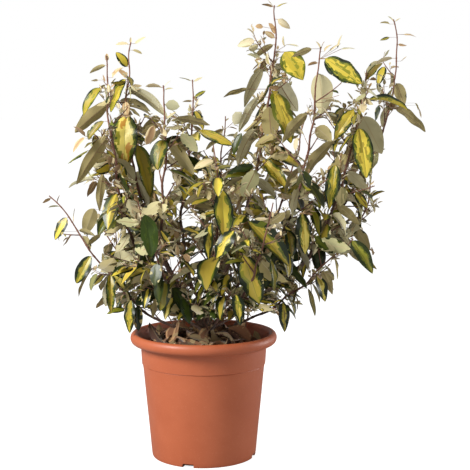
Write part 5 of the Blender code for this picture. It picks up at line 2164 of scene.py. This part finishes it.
@dataclass
class Pot:
    """The turned plastic pot with its rolled rim, seam and water notches."""

    sizes: PotSizes = POT
    steps: int = 120
    rim_points: int = 15
    inner_rim_points: int = 8
    seam_depth: float = 0.0009
    seam_width: float = 0.0016
    notches: int = 4
    notch_width: float = 0.020
    notch_height: float = 0.0065
    notch_depth: float = 0.014
    notch_round: float = 0.002
    first_notch: float = -106.0
    sharp_angle: float = 35.0

    def rim(self, start: float, end: float, points: int) -> Iterator[Pair]:
        """The rim's rounded section.

        Args:
            start: the angle where it starts.
            end: the angle where it ends.
            points: how many points it has.

        Returns:
            The radius and height of each point.
        """
        sizes = self.sizes
        half_width, half_height = sizes.rim_width / 2, sizes.rim_height / 2
        for step in range(points):
            turn = math.radians(start + (end - start) * step / (points - 1))
            yield (
                sizes.rim_radius - half_width + half_width * math.cos(turn),
                sizes.height - half_height + half_height * math.sin(turn),
            )

    def profile(self) -> list[Pair]:
        """The pot's section, down the outer side and up the inner one.

        Returns:
            The radius and height of each point.
        """
        sizes = self.sizes
        neck, band, shoulder, base = (
            sizes.neck_radius, sizes.band_radius, sizes.shoulder_radius, sizes.base_radius
        )
        under_rim, seam, edge = sizes.height - sizes.rim_height, sizes.band_height, sizes.base_edge
        return [
            *self.rim(90, -90, self.rim_points),
            (neck + 0.0022, under_rim + 0.0002),
            (neck + 0.0008, under_rim - 0.0004),
            (neck, under_rim - 0.0020),
            (neck - 0.0004, under_rim - 0.0080),
            (band, seam + self.seam_width),
            (band - 0.0001, seam + self.seam_width / 2),
            (band - sizes.band_step - self.seam_depth / 2, seam),
            (band - sizes.band_step, seam - self.seam_width / 2),
            (shoulder, sizes.shoulder_height),
            (shoulder - 0.0048, sizes.shoulder_height * 0.67),
            (base + 0.0049, sizes.shoulder_height * 0.34),
            (base + 0.0008, edge * 4),
            (base, edge),
            (base - edge * 0.3, edge * 0.3),
            (base - edge, 0.0),
            (base - edge * 3, 0.0),
            (0.0, 0.0),
            (0.0, sizes.floor),
            (sizes.inner_radius(sizes.floor), sizes.floor),
            (shoulder - sizes.wall, sizes.shoulder_height),
            (neck - sizes.wall, under_rim),
            *self.rim(180, 90, self.inner_rim_points),
        ]

    def cutter(self, number: int) -> bpy.types.Object:
        """A block with a rounded top that cuts one water notch.

        Args:
            number: the notch's number.

        Returns:
            The block in its place at the pot's foot.
        """
        heading = self.first_notch + 360.0 * number / self.notches
        box = bmesh.new()
        bmesh.ops.create_cube(box, size=1.0)
        size = (2 * self.notch_depth, self.notch_width, 2 * self.notch_height)
        bmesh.ops.scale(box, vec=size, verts=box.verts)
        upper = [edge for edge in box.edges if all(vertex.co.z > 0 for vertex in edge.verts)]
        upper = [edge for edge in upper if abs(edge.verts[0].co.y - edge.verts[1].co.y) < 1e-6]
        bevel = {"offset_type": "OFFSET", "segments": 3, "profile": 0.5, "affect": "EDGES", "material": -1}
        bmesh.ops.bevel(box, geom=upper, offset=self.notch_round, **bevel)
        turn = Matrix.Rotation(math.radians(heading), 4, "Z")
        place = Matrix.Translation(compass(heading) * self.sizes.base_radius)
        bmesh.ops.transform(box, matrix=place @ turn, verts=box.verts)
        return mesh_object(f"notch_cutter_{number}", box, self.sharp_angle)

    def build(self) -> None:
        """Turns the pot and cuts the water notches from its foot."""
        made = mesh_object("pot_shell", lathe("pot_shell", self.profile(), self.steps), self.sharp_angle)
        made.data.materials.append(pot_material())
        cutters = [self.cutter(number) for number in range(self.notches)]
        for cutter in cutters:
            cut = made.modifiers.new("notch", "BOOLEAN")
            cut.operation = "DIFFERENCE"
            cut.object = cutter
        bpy.context.view_layer.update()
        graph = bpy.context.evaluated_depsgraph_get()
        shell = bpy.data.meshes.new_from_object(made.evaluated_get(graph))
        made.modifiers.clear()
        made.data = shell
        for cutter in cutters:
            bpy.data.objects.remove(cutter, do_unlink=True)
        finished(made, ["pot"])


def soil_material() -> bpy.types.Material:
    """Dark, damp potting soil.

    Returns:
        The material.
    """
    soil = NodeMaterial("soil")
    crumbs = soil.noise(380.0, 5.0, 0.65)
    base = soil.ramp(crumbs, ((0.34, (26, 18, 13)), (0.55, (56, 38, 26)), (0.74, (92, 66, 44))))
    soil.dress(Base_Color=base, Roughness=soil.spread(crumbs, (0.3, 0.7), (0.98, 0.84)))
    soil.bump(crumbs, 0.8, 0.0015)
    return soil.made


def lump(make: Callable[..., object], chance: random.Random, limits: Pair, **options: float) -> Shape:
    """A rough lump, whose corners are drawn in or out by chance.

    Args:
        make: the operator that makes its form.
        chance: the source of its unevenness.
        limits: the least and the most that a corner's distance is multiplied by.
        options: the operator's options.

    Returns:
        The lump.
    """
    form = bmesh.new()
    make(form, **options)
    for vertex in form.verts:
        vertex.co *= between(chance, limits)
    return as_shape(form)


@dataclass
class SoilBed:
    """The soil in the pot, with crumbs, chips, fallen leaves and bits of twig on it."""

    sizes: PotSizes = POT
    steps: int = 96
    rings: int = 30
    relief: float = 0.0028
    coarse_grain: float = 90.0
    fine_grain: float = 240.0
    mound_radius: float = 0.075
    gap: float = 0.0004
    crumb_colours: tuple[Colour, ...] = (
        (34, 24, 17), (52, 36, 25), (74, 52, 36), (96, 72, 50), (120, 94, 68)
    )
    crumbs: int = 1500
    crumb_size: Pair = (0.0008, 0.0030)
    crumb_lumps: Pair = (0.7, 1.25)
    crumb_narrowing: Pair = (0.6, 1.0)
    crumb_flatness: float = 0.7
    crumb_lift: float = 0.3
    crumb_margin: float = 0.004
    chips: int = 160
    chip_length: Pair = (0.004, 0.011)
    chip_width: Pair = (0.002, 0.005)
    chip_height: float = 0.0013
    chip_lumps: Pair = (0.75, 1.2)
    chip_tilt: Pair = (-0.5, 0.5)
    chip_lift: float = 0.0015
    chip_margin: float = 0.008
    bits: int = 46
    bit_length: Pair = (0.015, 0.050)
    bit_radius: Pair = (0.0005, 0.0012)
    bit_end_radius: float = 0.0004
    bit_rise: Pair = (-0.05, 0.35)
    bit_bend: float = 0.004
    bit_lift: float = 0.003
    bit_margin: float = 0.020
    bit_wall_gap: float = 0.008
    fallen: int = 170
    fallen_shapes: int = 12
    fallen_length: Pair = (0.022, 0.056)
    fallen_height: Pair = (0.003, 0.016)
    fallen_droop: Pair = (-48.0, 18.0)
    fallen_width: float = 0.46
    fallen_roll: Pair = (-35.0, 35.0)
    fallen_lift: float = 0.0015
    fallen_margin: float = 0.012
    fallen_wall_gap: float = 0.010
    seed: int = 7

    def height(self, x: float, y: float) -> float:
        """The soil's height at a place.

        Args:
            x: its place along X.
            y: its place along Y.

        Returns:
            The height.
        """
        swell = self.sizes.soil_mound * max(0.0, 1 - math.hypot(x, y) / self.mound_radius)
        coarse = noise.noise(Vector((x, y, 0.0)) * self.coarse_grain)
        fine = noise.noise(Vector((x, y, 3.0)) * self.fine_grain)
        return self.sizes.soil_top + swell + (coarse + 0.5 * fine) * self.relief * 0.5

    def bed(self) -> None:
        """Turns the soil's body and roughens its top."""
        sizes, gap = self.sizes, self.gap
        edge = sizes.neck_radius - sizes.wall - 2 * gap
        form = lathe(
            "soil_bed",
            [
                *((edge * step / self.rings, sizes.soil_top) for step in range(self.rings + 1)),
                (sizes.shoulder_radius - sizes.wall - gap - gap, sizes.shoulder_height),
                (sizes.inner_radius(sizes.floor) - gap - gap, sizes.floor + gap),
                (0.0, sizes.floor + gap),
            ],
            self.steps,
        )
        for vertex in form.verts:
            if vertex.co.z > sizes.soil_top - 0.001:
                vertex.co.z = self.height(vertex.co.x, vertex.co.y)
        made = mesh_object("soil_bed", form, 60)
        made.data.materials.append(soil_material())
        finished(made, ["soil"])

    def spot(self, chance: random.Random, margin: float) -> Vector:
        """A random place on the soil.

        Args:
            chance: the source of the choice.
            margin: how far it keeps from the pot's wall.

        Returns:
            The place.
        """
        away = math.sqrt(chance.random()) * (self.sizes.neck_radius - self.sizes.wall - margin)
        place = compass(chance.uniform(0, 360)) * away
        place.z = self.height(place.x, place.y)
        return place

    def outside(self, place: Vector, margin: float) -> bool:
        """True if a place isn't inside the pot's neck by a margin."""
        return math.hypot(place.x, place.y) > self.sizes.neck_radius - margin

    def litter(self) -> None:
        """Scatters crumbs of soil, chips of bark and bits of twig."""
        chance = random.Random(self.seed)
        joined = Joined("soil_crumbs", sharp_angle=40)
        tones = [Tone(f"crumb_{i}", colour, 0.95, 0.2) for i, colour in enumerate(self.crumb_colours)]
        for _ in range(self.crumbs):
            shape = lump(bmesh.ops.create_icosphere, chance, self.crumb_lumps, subdivisions=1, radius=1.0)
            size = between(chance, self.crumb_size)
            form = (1.0, between(chance, self.crumb_narrowing), self.crumb_flatness)
            corners = shape.corners * size * np.array(form)
            corners = corners + np.array(self.spot(chance, self.crumb_margin))
            corners = corners + np.array((0, 0, size * self.crumb_lift))
            joined.add(corners, shape, [chance.choice(tones[:4])])
        for _ in range(self.chips):
            shape = lump(bmesh.ops.create_cube, chance, self.chip_lumps, size=1.0)
            size = (between(chance, self.chip_length), between(chance, self.chip_width), self.chip_height)
            turn = Matrix.Rotation(chance.uniform(0, math.tau), 3, "Z")
            turn = turn @ Matrix.Rotation(between(chance, self.chip_tilt), 3, "X")
            corners = (shape.corners * np.array(size)) @ np.array(turn).T
            corners = corners + np.array(self.spot(chance, self.chip_margin))
            joined.add(corners + np.array((0, 0, self.chip_lift)), shape, [chance.choice(tones[1:])])
        for _ in range(self.bits):
            low = self.spot(chance, self.bit_margin) + UP * self.bit_lift
            way = compass(chance.uniform(0, 360)) + UP * between(chance, self.bit_rise)
            high = low + way * between(chance, self.bit_length)
            if self.outside(high, self.bit_wall_gap):
                continue
            aside = Vector((chance.uniform(-1, 1), chance.uniform(-1, 1), 0)) * self.bit_bend
            middle = (low + high) / 2 + aside
            path = Path(low, middle, high, between(chance, self.bit_radius), self.bit_end_radius)
            tone = chance.choice((WOOD_OLD, SHOOT_WOOD, WOOD_YOUNG))
            joined.add(bent_cane(cane(5, 5), path), cane(5, 5), [tone] * 5)
        finished(joined.make())

    def leaves(self) -> None:
        """Scatters fallen leaves, flat on the soil or tilted over it."""
        chance = random.Random(self.seed + 1)
        joined = Joined("fallen_leaves")
        shapes = [DEAD_FORM.shape(chance) for _ in range(self.fallen_shapes)]
        for _ in range(self.fallen):
            length = between(chance, self.fallen_length)
            place = self.spot(chance, self.fallen_margin) + UP * between(chance, self.fallen_height)
            heading, droop = chance.uniform(0, 360), between(chance, self.fallen_droop)
            roll = chance.choice((0, 180)) + between(chance, self.fallen_roll)
            leaf = hanging_leaf(place, heading, droop, roll, length, self.fallen_width, DEAD)
            if self.outside(leaf.base() + leaf.along * length, self.fallen_wall_gap):
                continue
            form = chance.choice(shapes)
            corners = form.placed(leaf)
            lift = max(0.0, self.sizes.soil_top + self.fallen_lift - corners[:, 2].min())
            joined.add(corners + np.array((0, 0, lift)), form.shape, leaf.dress.tones(chance))
        finished(joined.make())

    def build(self) -> None:
        """Builds the soil and what lies on it."""
        self.bed()
        self.litter()
        self.leaves()


# Studio


@dataclass(frozen=True)
class Lamp:
    """A square soft light, aimed at the crown's middle."""

    name: str
    place: Triple
    size: float
    energy: float
    aim: Triple = (0.05, 0.0, 0.40)

    def build(self) -> None:
        """Hangs the light in its place."""
        lamp = bpy.data.lights.new(self.name, "AREA")
        lamp.shape, lamp.size, lamp.energy = "SQUARE", self.size, self.energy
        made = bpy.data.objects.new(self.name, lamp)
        made.location = self.place
        made.rotation_euler = (Vector(self.aim) - Vector(self.place)).to_track_quat("-Z", "Y").to_euler()
        bpy.context.scene.collection.objects.link(made)


@dataclass
class Studio:
    """A pale floor, soft light and the camera at the photo's viewing angle."""

    camera_pitch: float = -6.07
    lens: float = 87.36
    sensor: float = 36.0
    floor_size: float = 200.0
    floor_glow: float = 0.88
    floor_grey: float = 0.36
    floor_roughness: float = 0.9
    world_strength: float = 0.40
    lamps: tuple[Lamp, ...] = (
        Lamp("key", (-1.55, -1.15, 1.55), 0.9, 72.0),
        Lamp("top", (0.3, 0.0, 2.1), 1.8, 8.0),
        Lamp("fill", (0.7, -2.3, 0.35), 1.2, 7.0),
        Lamp("edge", (1.35, 0.42, 0.42), 0.6, 9.0),
    )

    def floor(self) -> None:
        """The plain pale floor, as white to the camera as what surrounds it."""
        form = bmesh.new()
        bmesh.ops.create_grid(form, x_segments=1, y_segments=1, size=self.floor_size / 2)
        made = mesh_object("floor", form, 30)
        white = NodeMaterial("floor_white")
        white.shader.inputs["Base Color"].default_value = (*(self.floor_grey,) * 3, 1.0)
        white.shader.inputs["Roughness"].default_value = self.floor_roughness
        white.shader.inputs["Emission Color"].default_value = (1.0, 1.0, 1.0, 1.0)
        seen = white.node("LightPath", "Is Camera Ray")
        white.dress(Emission_Strength=white.spread(seen, (0.0, 1.0), (0.0, self.floor_glow)))
        made.data.materials.append(white.made)
        made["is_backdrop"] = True

    def world(self) -> None:
        """White surroundings that light the plant only softly."""
        made = bpy.data.worlds.new("studio")
        made.use_nodes = True
        tree = made.node_tree
        background = tree.nodes["Background"]
        background.inputs["Color"].default_value = (1.0, 1.0, 1.0, 1.0)
        seen = tree.nodes.new("ShaderNodeLightPath").outputs["Is Camera Ray"]
        strength = tree.nodes.new("ShaderNodeMapRange")
        strength.inputs["To Min"].default_value = self.world_strength
        strength.inputs["To Max"].default_value = 1.0
        tree.links.new(seen, strength.inputs["Value"])
        tree.links.new(strength.outputs["Result"], background.inputs["Strength"])
        bpy.context.scene.world = made

    def camera(self) -> None:
        """The camera, level across and pitched down a little."""
        data = bpy.data.cameras.new("camera")
        data.lens, data.sensor_width = self.lens, self.sensor
        made = bpy.data.objects.new("camera", data)
        made.location = VIEWPOINT
        made.rotation_euler = (math.radians(90 + self.camera_pitch), 0.0, 0.0)
        bpy.context.scene.collection.objects.link(made)
        bpy.context.scene.camera = made

    def build(self) -> None:
        """Sets up the studio."""
        bpy.context.scene.view_settings.view_transform = "Standard"
        self.world()
        self.floor()
        for lamp in self.lamps:
            lamp.build()
        self.camera()


def main() -> None:
    """Builds the classes in order."""
    logging.basicConfig(level=logging.INFO, format="%(name)s %(message)s")
    noise.seed_set(WOBBLE_SEED)
    Studio().build()
    Pot().build()
    SoilBed().build()
    limbs = Limbs()
    paths = limbs.paths()
    limbs.build(paths)
    crown = Crown(Growth(), paths)
    crown.grow()
    Foliage(crown).build()
    corners = [*CAD_BOX, *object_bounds()]
    [list(corner) for corner in corners]


if __name__ == "__main__":
    main()
